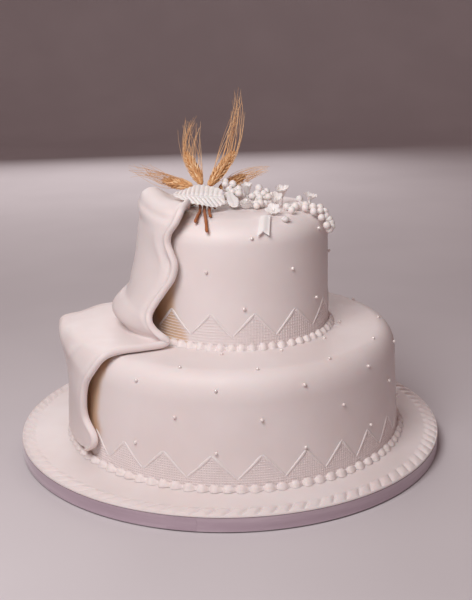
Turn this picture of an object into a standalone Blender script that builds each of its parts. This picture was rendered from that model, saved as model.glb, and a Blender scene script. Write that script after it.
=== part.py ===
"""Two-tier wedding cake on an iced round board, with a draped swag and a spray of wheat and fruit on top.

Metres, +Z up. The origin is the centre of the board's underside, and the front of the cake faces -Y.
Each piece of the cake is one object. Angles are in degrees, anticlockwise from +X, so the front is at -90.
"""
import math

import bpy
import bmesh
from mathutils import Matrix, Vector

MM = 0.001
GAP = 0.3 * MM            # air between pieces that rest on each other
SHARP_ANGLE = math.radians(38)  # edges that turn more than this are shaded as edges

# Board
BOARD_RADIUS = 203.2 * MM  # a 16 inch drum
BOARD_SIDES = 64
DRUM_HEIGHT = 12.2 * MM
RIBBON_THICKNESS = 0.7 * MM
RIBBON_BOTTOM = 1.2 * MM
RIBBON_TOP = 13.0 * MM
PASTE_TOP = 15.8 * MM
PASTE_RADIUS = 203.0 * MM
CRIMP_COUNT = 96
CRIMP_INNER = 189 * MM
CRIMP_OUTER = 201.0 * MM
CRIMP_HEIGHT = 1.5 * MM
CRIMP_SLANT = -1.4         # degrees that a crimp leans along its length

# Tiers
LEDGE = 116.0 * MM         # top of the lower tier
TOP = 228.3 * MM           # top of the upper tier
LOWER = {
    "centre": (5.4 * MM, -1.6 * MM), "base": PASTE_TOP + GAP, "top": LEDGE,
    "base_radius": 158.5 * MM, "top_radius": 154.5 * MM,
    "shoulder_width": 20 * MM, "shoulder_drop": 29 * MM, "squareness": 2.5,
}
UPPER = {
    "centre": (7.6 * MM, -1.6 * MM), "base": LEDGE + GAP, "top": TOP,
    "base_radius": 88.0 * MM, "top_radius": 86.7 * MM,
    "shoulder_width": 27 * MM, "shoulder_drop": 22.5 * MM, "squareness": 2.4,
}
SHOULDER_STEPS = 5

# Zigzag edging with its net panel: angles of the peaks in front, heights above the tier's base, and the gap
# between angles where the swag hides it
LOWER_ZIGZAG = {
    "points": 25, "front_peaks": [-127.7, -112.9, -97.3, -81.7, -67.6, -54.2, -41.9, -27.8],
    "valley": 9.2 * MM, "peak": 30.0 * MM, "columns_per_point": 2, "gap": (-203.0, -139.0),
}
UPPER_ZIGZAG = {
    "points": 14, "front_peaks": [-131.1, -104.9, -79.5, -53.5, -23.6],
    "valley": 10.8 * MM, "peak": 32.0 * MM, "columns_per_point": 4, "gap": (-232.0, -144.0),
}
RIDGE_HALF_HEIGHT = 1.2 * MM
RIDGE_PROUD = 1.4 * MM
PANEL_PROUD = 0.7 * MM
WALL_ROW_ABOVE_PEAK = 4 * MM

# Pearls: first angle, height above the tier's base, and how many go round
PEARL_RADIUS = 1.45 * MM
PEARL_RINGS = [(0.75, -0.45), (1.05, 0.4)]  # radius and height over the icing, in pearl radii
PEARL_TIP = 1.45
LOWER_PEARLS = [(-40.3, 87 * MM, 13), (-53.8, 61.5 * MM, 13), (-67.7, 33 * MM, 13)]
UPPER_PEARLS = [(-80.8, 98.5 * MM, 7), (-55.7, 69.5 * MM, 7), (-85.8, 36.4 * MM, 7)]
LEDGE_PEARLS = [(-81.8, 140 * MM, 13), (-66.3, 101.3 * MM, 12)]  # these two rows give a radius, not a height

# Piped shell borders
BORDER_REACH = 6.8 * MM
BORDER_HEIGHT = 5.4 * MM
LOWER_SHELLS = 88
UPPER_SHELLS = 60
SHELL_TAIL = 0.58          # size of a shell's tail against its head
SHELL_HEAD_AT = 0.38       # where the head is fullest along the shell

# Swag: rows run from the top of the cake down to the board.
# Each row: radius, height over the ledge and angle of the front hem, radius and height at the middle, then
# radius, height and angle of the back hem.
SWAG_ROWS = [
    (57.0, 116.2, -136.0, 35.0, 115.2, 55.0, 115.8, -224.0),
    (68.0, 124.0, -125.5, 56.0, 119.6, 69.0, 114.8, -227.0),
    (86.0, 121.0, -120.5, 76.5, 129.0, 86.5, 107.5, -235.0),
    (92.0, 111.5, -121.8, 88.4, 121.0, 91.0, 98.0, -236.0),
    (94.0, 101.5, -125.8, 87.0, 107.5, 91.6, 92.0, -232.0),
    (94.0, 93.5, -126.6, 88.7, 99.0, 92.0, 86.0, -230.0),
    (94.0, 85.5, -124.6, 89.9, 90.5, 92.4, 80.0, -231.0),
    (94.0, 77.5, -122.4, 91.2, 82.0, 92.8, 74.0, -234.0),
    (94.5, 70.0, -122.4, 92.7, 73.0, 93.4, 67.0, -236.0),
    (96.0, 60.5, -124.2, 94.9, 62.5, 94.4, 59.0, -236.0),
    (99.0, 50.5, -128.0, 97.8, 52.0, 96.0, 50.0, -233.0),
    (103.5, 40.5, -131.2, 99.8, 43.5, 98.0, 41.0, -227.0),
    (108.0, 31.3, -133.0, 103.4, 35.7, 100.0, 33.0, -220.0),
    (110.5, 24.5, -131.9, 111.2, 29.3, 102.5, 26.0, -214.0),
    (109.0, 18.0, -129.4, 116.4, 22.7, 104.5, 19.5, -212.0),
    (106.0, 12.6, -125.8, 115.0, 16.0, 105.0, 13.0, -212.0),
    (102.2, 7.8, -124.0, 107.5, 8.8, 106.0, 7.4, -213.0),
    (105.8, 4.4, -124.8, 106.5, 3.4, 109.0, 3.4, -211.0),
    (121.4, 4.0, -129.3, 121.0, 2.6, 122.0, 2.8, -206.0),
    (141.0, 4.0, -133.4, 141.0, 2.6, 140.5, 2.7, -199.0),
    (156.0, 1.0, -135.0, 156.0, 2.4, 151.5, 2.8, -188.5),
    (163.5, -13.0, -138.0, 163.4, -5.0, 166.0, 2.2, -182.5),
    (165.5, -25.0, -140.6, 161.0, -20.0, 166.2, -8.0, -181.5),
    (166.0, -40.0, -142.0, 160.0, -36.0, 160.8, -22.0, -186.0),
    (164.8, -57.0, -142.4, 159.4, -53.0, 160.6, -45.0, -192.0),
    (163.9, -71.0, -138.4, 160.6, -70.0, 161.6, -68.0, -198.0),
    (163.9, -81.0, -138.6, 161.2, -82.0, 162.0, -80.0, -196.0),
    (163.9, -90.0, -143.0, 161.6, -92.0, 162.2, -91.0, -190.0),
]
SWAG_STEPS_PER_ROW = 2
SWAG_HALF_THICKNESS = 1.6 * MM
SWAG_HEM_WIDTH = 7.2 * MM
SWAG_HEM_HALF_THICKNESS = 3.3 * MM
SWAG_BACK_HEM_HALF_THICKNESS = 1.9 * MM
SWAG_EDGE_HALF_THICKNESS = 1.5 * MM
SWAG_INNER_COLUMNS = 5     # columns between the two hems
LOWER_SWAG_SPAN = (-203.0, -137.0)
LEDGE_SWAG_SPAN = (-226.0, -122.0)
UPPER_SWAG_SPAN = (-240.0, -119.0)

# Leaves, in millimetres from the upper tier's centre and top
LEAF_THICKNESS = 1.1 * MM

# Grapes: centre of each ball in millimetres from the upper tier's centre and top, and the lumps that they
# heap over
GRAPE_RADIUS = 3.3 * MM
STALK_RADIUS = 1.0 * MM
GRAPES_LEFT = [
    (-9, 14, 20.6), (-2, 8, 19.0), (-9, 5, 19.4), (-2.5, -1.2, 12.8), (3.6, -2.3, 11.4), (3.5, 5, 14.5),
    (-3, 15.5, 15.6), (3, 12.5, 10.0), (0, 17, 6.5), (6.5, 6.5, 6.5), (-7.5, 0, 8.2),
]
GRAPE_LUMPS_LEFT = [(-1, 7, 8.8, 8.2), (-6, 9, 15, 5.5)]
GRAPES_MIDDLE = [
    (16, -3, 8.9), (20.5, 4, 10.2), (22.5, 7, 14.9), (27, 4, 10.4), (23, -7, 7.9), (23, -18.5, 5.4),
    (19.7, -22.5, 3.9), (31, -3, 8.3), (34.4, 2.5, 8.3), (29.5, 11, 10.8), (25.4, 14.8, 6.2), (20, 10, 5.8),
    (19.5, -13.5, 3.9), (27.5, -13.5, 3.9),
]
GRAPE_LUMPS_MIDDLE = [(21.5, 0, 5.6, 5.2), (27, 7, 5.6, 5.2), (30.5, -1, 4.6, 4.2), (23, -15.5, 4.0, 3.6)]
GRAPES_RIGHT = [
    (46.7, -28.5, 3.8), (50.2, -45.5, 3.8), (54.4, -30.8, 4.3), (57.7, -26.4, 3.8), (59.0, -18.0, 8.6),
    (63.1, -34.5, 3.5), (70.4, -38.0, 0.9), (77.3, -40.3, -4.4), (77.4, -22.0, 1.4), (81.6, -25.0, -1.8),
    (82.5, -27.6, -5.4), (85.4, -28.0, -8.6), (87.1, -29.0, -11.8), (82.3, -39.6, -11.7), (87.2, -32.7, -14.2),
    (84.9, -36.5, -16.1), (64.0, -26.0, 4.6), (70.5, -29.5, 3.2), (77.0, -31.5, -0.2), (60.0, -22.0, 4.2),
]
GRAPE_LUMPS_RIGHT = []

# Blossoms: place and rim's height over the icing in millimetres, rim radius, and lean to the front and side
BLOSSOMS = [
    (11.5, 14.0, 16.5, 5.4, 8, 0),
    (43.5, 0.0, 15.5, 6.4, 14, 0),
    (70.0, 6.5, 8.2, 6.2, 6, 14),
    (37.5, -14.5, 11.0, 5.6, 34, 4),
    (34.0, -48.5, 5.6, 6.2, 36, -10),
]
BLOSSOM_PETALS = 5
ROSE_PLACE = (9.9, -17.5)
ROSE_RADIUS = 6.5 * MM
ROSE_HEIGHT = 8.6 * MM

# Wheat: points of each stalk in millimetres from the upper tier's centre and top, cut end to ear tip, then
# how far its awns reach
STEM_RADIUS = 1.5 * MM
EAR_RADIUS = 7.0 * MM
EAR_SHAPE = (0.55, 0.84, 1.0, 1.0, 0.95, 0.86, 0.68, 0.36)  # thickness from its foot to its tip
AWN_RADIUS = 0.35 * MM
AWNS_PER_EAR = 8
WHEAT = [
    {"stem": [(-34.5, -72, -0.2), (-33.0, -58, 2.0), (-31.6, -42, 2.4), (-32.0, -22, 5.0), (-36.0, -2, 12.0)],
     "ear": [(-41.5, 8, 17.6), (-68.0, 25, 20.0)], "awns": (-97.0, 24, 34.0), "spread": 19},
    {"stem": [(-24.5, -84, -6.2), (-25.2, -73, -0.9), (-26.4, -58, 2.0), (-27.4, -40, 2.4), (-27.8, -22, 5.0),
              (-30.0, -4, 12.5)],
     "ear": [(-32.0, 5, 21.0), (-46.0, 27, 46.5)], "awns": (-38.0, 36, 81.0), "spread": 15},
    {"stem": [(-21.6, -60, 2.0), (-22.8, -44, 2.2), (-23.2, -22, 5.0), (-23.4, -4, 12.0)],
     "ear": [(-23.0, 5, 19.5), (0.0, 28, 46.5)], "awns": (5.0, 44, 106.0), "spread": 9},
    {"stem": [(-18.6, -27, 3.2), (-18.8, -20, 4.6), (-18.0, 0, 8.0), (-15.5, 12, 10.5)],
     "ear": [(-13.5, 18, 13.0), (9.0, 38, 21.5)], "awns": (33.0, 46, 28.5), "spread": 10},
]

GOLDEN_ANGLE = math.pi * (3 - math.sqrt(5))


def clear_scene():
    """Start from an empty file, whatever objects it opened with."""
    for thing in list(bpy.data.objects):
        bpy.data.objects.remove(thing, do_unlink=True)


def make_material(name, colour, roughness, metallic=0.0):
    """A Principled material of one colour."""
    material = bpy.data.materials.new(name)
    material.use_nodes = True
    shader = material.node_tree.nodes["Principled BSDF"]
    shader.inputs["Base Color"].default_value = (*colour, 1.0)
    shader.inputs["Roughness"].default_value = roughness
    shader.inputs["Metallic"].default_value = metallic
    return material


def make_object(name, points, faces, material):
    """One smooth-shaded mesh object whose faces all point outwards."""
    mesh = bpy.data.meshes.new(name)
    mesh.from_pydata([tuple(p) for p in points], [], faces)
    work = bmesh.new()
    work.from_mesh(mesh)
    bmesh.ops.recalc_face_normals(work, faces=work.faces)
    work.to_mesh(mesh)
    work.free()
    mesh.shade_smooth()
    mesh.set_sharp_from_angle(angle=SHARP_ANGLE)
    mesh.materials.append(material)
    thing = bpy.data.objects.new(name, mesh)
    bpy.context.scene.collection.objects.link(thing)
    return thing


def skin(loops, ends="flat", around=False):
    """Points and faces of a skin over closed loops of equal length.

    ends is "flat" for one face over each end, or "open"; around joins the last loop to the first.
    """
    count = len(loops[0])
    points = [p for loop in loops for p in loop]
    faces = []
    spans = len(loops) if around else len(loops) - 1
    for i in range(spans):
        here, there = i * count, ((i + 1) % len(loops)) * count
        for j in range(count):
            k = (j + 1) % count
            faces.append((here + j, here + k, there + k, there + j))
    if ends == "flat" and not around:
        faces.append(tuple(reversed(range(count))))
        faces.append(tuple(range(len(points) - count, len(points))))
    return points, faces


def fuse(target, pieces, solver="EXACT"):
    """Join pieces to target by one Boolean union, and remove them."""
    group = bpy.data.collections.new(target.name + "_pieces")
    for piece in pieces:
        group.objects.link(piece)
    union = target.modifiers.new("Fuse", "BOOLEAN")
    union.operation = "UNION"
    union.solver = solver
    union.operand_type = "COLLECTION"
    union.collection = group
    graph = bpy.context.evaluated_depsgraph_get()
    fused = bpy.data.meshes.new_from_object(target.evaluated_get(graph))
    fused.set_sharp_from_angle(angle=SHARP_ANGLE)
    target.modifiers.clear()
    target.data = fused
    for piece in pieces:
        bpy.data.objects.remove(piece, do_unlink=True)
    bpy.data.collections.remove(group)
    return target


def ball(name, place, radius, material):
    """A faceted ball, to be fused to something."""
    work = bmesh.new()
    bmesh.ops.create_icosphere(work, subdivisions=1, radius=radius, matrix=Matrix.Translation(place))
    mesh = bpy.data.meshes.new(name)
    work.to_mesh(mesh)
    work.free()
    mesh.materials.append(material)
    thing = bpy.data.objects.new(name, mesh)
    bpy.context.scene.collection.objects.link(thing)
    return thing


def pearl(place, outward, material):
    """A small dome of icing on a surface that faces outward, with its foot sunk in it."""
    turn = outward.to_track_quat("Z", "X").to_matrix() * PEARL_RADIUS
    points, faces = skin([
        [place + turn @ Vector((radius * math.cos(a), radius * math.sin(a), height)) for a in turn_angles(5)]
        for radius, height in PEARL_RINGS
    ])
    rim = faces.pop()
    tip = len(points)
    points.append(place + turn @ Vector((0, 0, PEARL_TIP)))
    faces += [(a, b, tip) for a, b in zip(rim, rim[1:] + rim[:1])]
    return make_object("pearl", points, faces, material)


def smooth_step(x):
    """0 below 0, 1 above 1, and smooth between."""
    x = min(1.0, max(0.0, x))
    return x * x * (3 - 2 * x)


def spline(rows, u):
    """A value of the smooth curve through rows, with u running from 0 to the last row's index."""
    i = min(int(u), len(rows) - 2)
    f = u - i
    before = rows[max(i - 1, 0)]
    after = rows[min(i + 2, len(rows) - 1)]
    result = []
    for a, b, c, d in zip(before, rows[i], rows[i + 1], after):
        slope_b, slope_c = (c - a) / 2, (d - b) / 2
        result.append(
            b * (1 + 2 * f) * (1 - f) ** 2 + slope_b * f * (1 - f) ** 2
            + c * f * f * (3 - 2 * f) + slope_c * f * f * (f - 1)
        )
    return result


def polar(centre, radius, degrees, height):
    """The point at an angle and a radius round a centre."""
    angle = math.radians(degrees)
    return Vector((centre[0] + radius * math.cos(angle), centre[1] + radius * math.sin(angle), height))


def wall_radius(tier, height):
    """Radius of a tier's wall below its shoulder."""
    share = (height - tier["base"]) / (tier["top"] - tier["shoulder_drop"] - tier["base"])
    return tier["base_radius"] + (tier["top_radius"] - tier["base_radius"]) * share


def shoulder_ring(tier, share):
    """Radius and height on a tier's rounded shoulder, from its wall at 0 to its flat top at 1."""
    angle = share * math.pi / 2
    power = 2 / tier["squareness"]
    radius = tier["top_radius"] - tier["shoulder_width"] * (1 - math.cos(angle) ** power)
    height = tier["top"] - tier["shoulder_drop"] * (1 - math.sin(angle) ** power)
    return radius, height


def shoulder_share(tier, height):
    """How far up its shoulder a tier reaches a height, from 0 to 1."""
    rise = 1 - (tier["top"] - height) / tier["shoulder_drop"]
    return math.asin(rise ** (tier["squareness"] / 2)) * 2 / math.pi


def icing_height(tier, radius):
    """Height of a tier's top or shoulder at a radius from its centre."""
    flat = tier["top_radius"] - tier["shoulder_width"]
    if radius <= flat:
        return tier["top"]
    power = tier["squareness"]
    share = min(1.0, (radius - flat) / tier["shoulder_width"])
    return tier["top"] - tier["shoulder_drop"] * (1 - (1 - share ** power) ** (1 / power))


def icing_point(place, lift=0.0):
    """A point at a height over the upper tier's icing. place is in millimetres from the tier's centre.

    The lift is taken square to the icing, so a point past the shoulder's edge is measured from the wall.
    """
    x, y = place[0] * MM, place[1] * MM
    radius = math.hypot(x, y)
    best = None
    for step in range(61):
        ring_radius, ring_height = shoulder_ring(UPPER, step / 60)
        inner, inner_height = shoulder_ring(UPPER, min(1.0, step / 60 + 0.01))
        along = Vector((inner - ring_radius, inner_height - ring_height))
        if along.length < 1e-7:
            continue
        out = Vector((along.y, -along.x)).normalized()
        miss = abs(ring_radius + out.x * lift - radius)
        if best is None or miss < best[0]:
            best = (miss, ring_height + out.y * lift)
    flat = UPPER["top_radius"] - UPPER["shoulder_width"]
    height = TOP + lift if radius <= flat else best[1]
    return Vector((UPPER["centre"][0] + x, UPPER["centre"][1] + y, height))


def top_point(place):
    """A point in millimetres from the upper tier's centre and top."""
    return Vector((UPPER["centre"][0] + place[0] * MM, UPPER["centre"][1] + place[1] * MM, TOP + place[2] * MM))


def under_swag(degrees, span):
    """Whether an angle lies in the stretch that the swag covers."""
    low, high = span
    return low < (degrees - high) % 360 + high - 360 < high


def zigzag_peaks(pattern):
    """Angles of the zigzag's peaks once round: uneven in front, where they are seen, and even behind."""
    front = pattern["front_peaks"]
    behind = pattern["points"] - len(front)
    pitch = (front[0] + 360 - front[-1]) / (behind + 1)
    return front + [front[-1] + pitch * (k + 1) for k in range(behind)]


def zigzag_height(pattern, degrees):
    """Height of the zigzag line over the tier's base."""
    peaks = zigzag_peaks(pattern)
    degrees = (degrees - peaks[0]) % 360 + peaks[0]
    for peak, after in zip(peaks, peaks[1:] + [peaks[0] + 360]):
        if degrees <= after:
            turn = (degrees - peak) / (after - peak)
            break
    return pattern["valley"] + (pattern["peak"] - pattern["valley"]) * abs(1 - 2 * turn)


def make_tier(name, tier, pattern, material):
    """A solid iced tier with its zigzag ridge and the net panel under it."""
    peaks = zigzag_peaks(pattern)
    steps = pattern["columns_per_point"]
    angles = [
        peak + (after - peak) * step / steps
        for peak, after in zip(peaks, peaks[1:] + [peaks[0] + 360]) for step in range(steps)
    ]
    base = tier["base"]

    def relief_row(offset, proud, floor=False):
        ring = []
        for angle in angles:
            height = base if floor else base + zigzag_height(pattern, angle) + offset
            out = 0.0 if under_swag(angle, pattern["gap"]) else proud
            ring.append(polar(tier["centre"], wall_radius(tier, height) + out, angle, height))
        return ring

    rows = [
        relief_row(0, PANEL_PROUD, floor=True),
        relief_row(-RIDGE_HALF_HEIGHT, PANEL_PROUD),
        relief_row(0, RIDGE_PROUD),
        relief_row(RIDGE_HALF_HEIGHT, 0),
    ]
    plain = base + pattern["peak"] + WALL_ROW_ABOVE_PEAK
    rows.append([polar(tier["centre"], wall_radius(tier, plain), a, plain) for a in angles])
    for step in range(SHOULDER_STEPS + 1):
        radius, height = shoulder_ring(tier, step / SHOULDER_STEPS)
        rows.append([polar(tier["centre"], radius, a, height) for a in angles])
    return make_object(name, *skin(rows), material)


def make_pearls(tier, rows, span, ledge_rows, material):
    """The pearls of a tier, apart from those that the swag would cover."""
    pearls = []
    for first, height, count in rows:
        z = tier["base"] + height
        for i in range(count):
            angle = first + 360 * i / count
            radius, slope = wall_radius(tier, z), 0.0
            over = z - (tier["top"] - tier["shoulder_drop"])
            if over > 0:
                share = shoulder_share(tier, z)
                radius = shoulder_ring(tier, share)[0]
                slope = 60 * share
            if not under_swag(angle, (span[0] - 3, span[1] + 3)):
                outward = polar((0, 0), math.cos(math.radians(slope)), angle, math.sin(math.radians(slope)))
                pearls.append(pearl(polar(tier["centre"], radius, angle, z), outward, material))
    for first, radius, count in ledge_rows:
        for i in range(count):
            angle = first + 360 * i / count
            if not under_swag(angle, LEDGE_SWAG_SPAN):
                place = polar(tier["centre"], radius, angle, icing_height(tier, radius))
                pearls.append(pearl(place, Vector((0, 0, 1)), material))
    return pearls


def make_board(drum_material, ribbon_material, paste_material):
    """The drum board, the ribbon round its edge, and the crimped paste on it."""
    origin = (0.0, 0.0)
    angles = [360 * j / BOARD_SIDES for j in range(BOARD_SIDES)]
    drum_radius = BOARD_RADIUS - RIBBON_THICKNESS - GAP
    drum = [[polar(origin, drum_radius, a, z) for a in angles] for z in (0.0, DRUM_HEIGHT)]
    make_object("board", *skin(drum), drum_material)

    inner, outer = BOARD_RADIUS - RIBBON_THICKNESS, BOARD_RADIUS
    corners = [(inner, RIBBON_BOTTOM), (outer, RIBBON_BOTTOM), (outer, RIBBON_TOP), (inner, RIBBON_TOP)]
    sections = [[polar(origin, r, a, z) for r, z in corners] for a in angles]
    make_object("board_ribbon", *skin(sections, around=True), ribbon_material)

    columns = 2 * CRIMP_COUNT
    pitch = 360 / columns

    def ring(radius, height, crimp=0.0, lean=0.0):
        return [
            polar(origin, radius, pitch * j + lean, height + (crimp if j % 2 else 0.0))
            for j in range(columns)
        ]

    edge_top = PASTE_TOP - 1.2 * MM
    underside = RIBBON_TOP + GAP
    rows = [
        ring(PASTE_RADIUS - 0.6 * MM, underside),
        ring(PASTE_RADIUS, edge_top, lean=CRIMP_SLANT),
        ring(CRIMP_OUTER, PASTE_TOP - 0.3 * MM, CRIMP_HEIGHT, CRIMP_SLANT),
        ring(CRIMP_INNER, PASTE_TOP, lean=-CRIMP_SLANT),
    ]
    make_object("board_paste", *skin(rows), paste_material)


def make_border(name, tier, shells, material):
    """A ring of piped shells round a tier's base, each with a full head and a thinner tail."""
    inner = tier["base_radius"] + PANEL_PROUD + GAP
    sections = []
    for i in range(shells):
        for along, size in ((SHELL_HEAD_AT, 1.0), (0.95, SHELL_TAIL)):
            angle = 360 * (i + along) / shells
            reach, rise = BORDER_REACH * size, BORDER_HEIGHT * size
            floor = tier["base"]
            sections.append([
                polar(tier["centre"], inner, angle, floor),
                polar(tier["centre"], inner + reach * 0.85, angle, floor),
                polar(tier["centre"], inner + reach * 0.9, angle, floor + rise * 0.6),
                polar(tier["centre"], inner + reach * 0.2, angle, floor + rise),
            ])
    return make_object(name, *skin(sections, around=True), material)


def swag_point(u, across):
    """A point in the middle of the swag's thickness.

    u runs down its rows, and across from 0 at the front hem to 1 at the back hem.
    """
    row = spline(SWAG_ROWS, u)
    hem_radius, hem_height, hem_angle, mid_radius, mid_height, back_radius, back_height, back_angle = row
    middle = 0.5 - 0.5 * math.cos(2 * math.pi * across)
    if across > 0.5:
        hem_radius, hem_height = back_radius, back_height
    radius = (hem_radius + (mid_radius - hem_radius) * middle) * MM
    height = LEDGE + (hem_height + (mid_height - hem_height) * middle) * MM
    angle = hem_angle + (back_angle - hem_angle) * across
    share = smooth_step((height - LEDGE) / (30 * MM))
    centre = [a + (b - a) * share for a, b in zip(LOWER["centre"], UPPER["centre"])]
    return polar(centre, radius, angle, height)


def swag_normal(u, across):
    """The swag's outward direction."""
    step = 0.02
    along = swag_point(min(u + step, len(SWAG_ROWS) - 1), across) - swag_point(max(u - step, 0), across)
    left = swag_point(u, min(across + step, 1)) - swag_point(u, max(across - step, 0))
    return left.cross(along).normalized()


def make_swag(material):
    """The thick folded sheet that falls over the left of both tiers, with a rolled hem down each side."""
    steps = (len(SWAG_ROWS) - 1) * SWAG_STEPS_PER_ROW
    loops = []
    for i in range(steps + 1):
        u = i / SWAG_STEPS_PER_ROW
        width = sum(
            (swag_point(u, (k + 1) / 12) - swag_point(u, k / 12)).length for k in range(12)
        )
        hem = SWAG_HEM_WIDTH / width
        columns = [(0.0, SWAG_EDGE_HALF_THICKNESS), (hem * 0.5, SWAG_HEM_HALF_THICKNESS),
                   (hem, SWAG_HALF_THICKNESS)]
        columns += [
            (k / (SWAG_INNER_COLUMNS + 1), SWAG_HALF_THICKNESS) for k in range(1, SWAG_INNER_COLUMNS + 1)
        ]
        columns += [(1 - hem * 0.5, SWAG_BACK_HEM_HALF_THICKNESS), (1.0, SWAG_EDGE_HALF_THICKNESS)]
        outer = [swag_point(u, across) + swag_normal(u, across) * half for across, half in columns]
        inner = [swag_point(u, across) - swag_normal(u, across) * half for across, half in columns]
        loops.append(outer + inner[::-1])
    points, faces = skin(loops, ends="open")
    count = len(loops[0])
    last = len(points) - count
    for k in range(count // 2 - 1):
        quad = (k, k + 1, count - 2 - k, count - 1 - k)
        faces.append(quad)
        faces.append(tuple(last + q for q in reversed(quad)))
    return make_object("swag", points, faces, material)


def make_sheet(name, rows, thickness, material):
    """A thin solid over a grid of points, with both faces split alike."""
    across = len(rows[0])
    upper, lower = [], []
    for i, row in enumerate(rows):
        for j, point in enumerate(row):
            along = rows[min(i + 1, len(rows) - 1)][j] - rows[max(i - 1, 0)][j]
            side = row[min(j + 1, across - 1)] - row[max(j - 1, 0)]
            normal = along.cross(side).normalized()
            if normal.z < 0:
                normal.negate()
            upper.append(point + normal * thickness / 2)
            lower.append(point - normal * thickness / 2)
    count = len(upper)
    faces = []
    for i in range(len(rows) - 1):
        for j in range(across - 1):
            a, b = i * across + j, i * across + j + 1
            c, d = b + across, a + across
            faces += [(a, b, c), (a, c, d)]
            faces += [(a + count, c + count, b + count), (a + count, d + count, c + count)]
    rim = [j for j in range(across)]
    rim += [i * across + across - 1 for i in range(1, len(rows))]
    rim += [(len(rows) - 1) * across + j for j in range(across - 2, -1, -1)]
    rim += [i * across for i in range(len(rows) - 2, 0, -1)]
    for k, here in enumerate(rim):
        there = rim[(k + 1) % len(rim)]
        faces += [(here, here + count, there + count), (here, there + count, there)]
    return make_object(name, upper + lower, faces, material)


def leaf_rows(start, end, half_width, left_rise, right_drop, veins, rows, columns):
    """Grid of a leaf from its pointed start to its blunter end, with a toothed edge and furrows for veins.

    start and end are in millimetres from the tier's centre and top. left_rise and right_drop are how far the
    edges stand above and below the midrib, at the start and at the end.
    """
    start, end = Vector(start), Vector(end)
    axis = end - start
    side = Vector((-axis.y, axis.x, 0)).normalized()
    grid = []
    for i in range(rows + 1):
        s = i / rows
        body = math.sin(math.pi * (0.03 + 0.85 * s)) ** 0.75
        tooth = 1.0 if i % 2 else 0.93
        rise = left_rise[0] + (left_rise[1] - left_rise[0]) * s
        drop = right_drop[0] + (right_drop[1] - right_drop[0]) * s
        row = []
        for j in range(columns + 1):
            v = 2 * j / columns - 1
            out = v * half_width * body * tooth
            furrow = 0.5 * math.cos(2 * math.pi * (s * veins - abs(v) * 1.1)) * abs(v) * (1.2 - abs(v))
            lift = v * body * (rise if v > 0 else drop) + furrow
            row.append(top_point(start + axis * s + side * out + Vector((0, 0, lift))))
        grid.append(row)
    return grid


def make_leaves(material):
    """A large leaf over the wheat's binding and a small one beside it."""
    large = leaf_rows((-55.5, -25, 14.6), (-9.6, -18, 10.6), 21.5, (2.0, 9.0), (1.5, 7.2), 4, 10, 8)
    make_sheet("leaf_large", large, LEAF_THICKNESS, material)
    small = leaf_rows((-4.5, -5, 12.5), (0.0, -27, 3.4), 5.4, (0.6, 0.6), (-1.0, 0.4), 3, 6, 4)
    make_sheet("leaf_small", small, LEAF_THICKNESS, material)


def make_grapes(name, places, lumps, material):
    """A bunch of small balls heaped over a few lumps and joined by their stalks, as one solid."""
    centres = [top_point(place) for place in places]
    pieces = [ball("grape", place, GRAPE_RADIUS, material) for place in centres[1:]]
    pieces += [ball("lump", top_point(lump[:3]), lump[3] * MM, material) for lump in lumps]
    for i in range(1, len(centres)):
        nearest = min(centres[:i], key=lambda c: (c - centres[i]).length)
        if (nearest - centres[i]).length > 1.5 * GRAPE_RADIUS:
            pieces.append(tube("stalk", [centres[i], nearest], [STALK_RADIUS] * 2, 3, material))
    return fuse(ball(name, centres[0], GRAPE_RADIUS, material), pieces)


def turn_angles(count):
    """Angles in radians once round."""
    return [2 * math.pi * k / count for k in range(count)]


def tube(name, points, radii, sides, material, flatten=1.0):
    """A closed tube along points, with a radius at each."""
    loops = []
    for i, (point, radius) in enumerate(zip(points, radii)):
        along = (points[min(i + 1, len(points) - 1)] - points[max(i - 1, 0)]).normalized()
        side = along.cross(Vector((0, 1, 0.02))).normalized()
        up = along.cross(side)
        loops.append([
            point + side * radius * math.cos(a) + up * radius * flatten * math.sin(a)
            for a in turn_angles(sides)
        ])
    return make_object(name, *skin(loops), material)


def make_blossom(name, x, y, rim_lift, rim_radius, lean_front, lean_side, material):
    """A small trumpet of five petals on its tube."""
    foot = icing_point((x, y), 2 * GAP)
    rim_height = rim_lift * MM
    lean = Matrix.Rotation(math.radians(lean_front), 3, "X")
    lean = lean @ Matrix.Rotation(math.radians(lean_side), 3, "Y")
    profile = [(0.9, 0.0, 0), (1.5, 0.45, 0), (3.2, 0.78, 0), (rim_radius, 0.97, 1), (rim_radius * 0.92, 1.06, 1),
               (2.2, 0.86, 0), (0.8, 0.66, 0)]
    segments = 2 * BLOSSOM_PETALS
    loops = []
    for radius, share, lobed in profile:
        loop = []
        for k, a in enumerate(turn_angles(segments)):
            lobe = 1 + (0.16 if k % 2 else -0.16) * lobed
            raise_tip = (0.08 if k % 2 else -0.05) * lobed
            local = Vector((radius * lobe * MM * math.cos(a), radius * lobe * MM * math.sin(a), 0))
            bend = lean if share > 0.5 else Matrix.Identity(3)
            loop.append(foot + Vector((0, 0, rim_height * 0.5)) + bend @ (local + Vector(
                (0, 0, rim_height * (share + raise_tip - 0.5)))))
        loops.append(loop)
    return make_object(name, *skin(loops), material)


def make_rose(material):
    """A low open rose, with a ring of outer petals and a closed heart."""
    foot = icing_point(ROSE_PLACE, 2 * GAP)
    profile = [(0.35, 0.0, 0), (0.8, 0.25, 0), (1.0, 0.62, 1), (0.72, 0.56, 0), (0.52, 0.86, 1), (0.2, 0.78, 0)]
    loops = []
    for radius, share, lobed in profile:
        loop = []
        for k, a in enumerate(turn_angles(12)):
            size = ROSE_RADIUS * radius * (1 + (0.07 if k % 2 else -0.07) * lobed)
            loop.append(foot + Vector((size * math.cos(a), size * math.sin(a), ROSE_HEIGHT * share)))
        loops.append(loop)
    return make_object("rose", *skin(loops), material)


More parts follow.
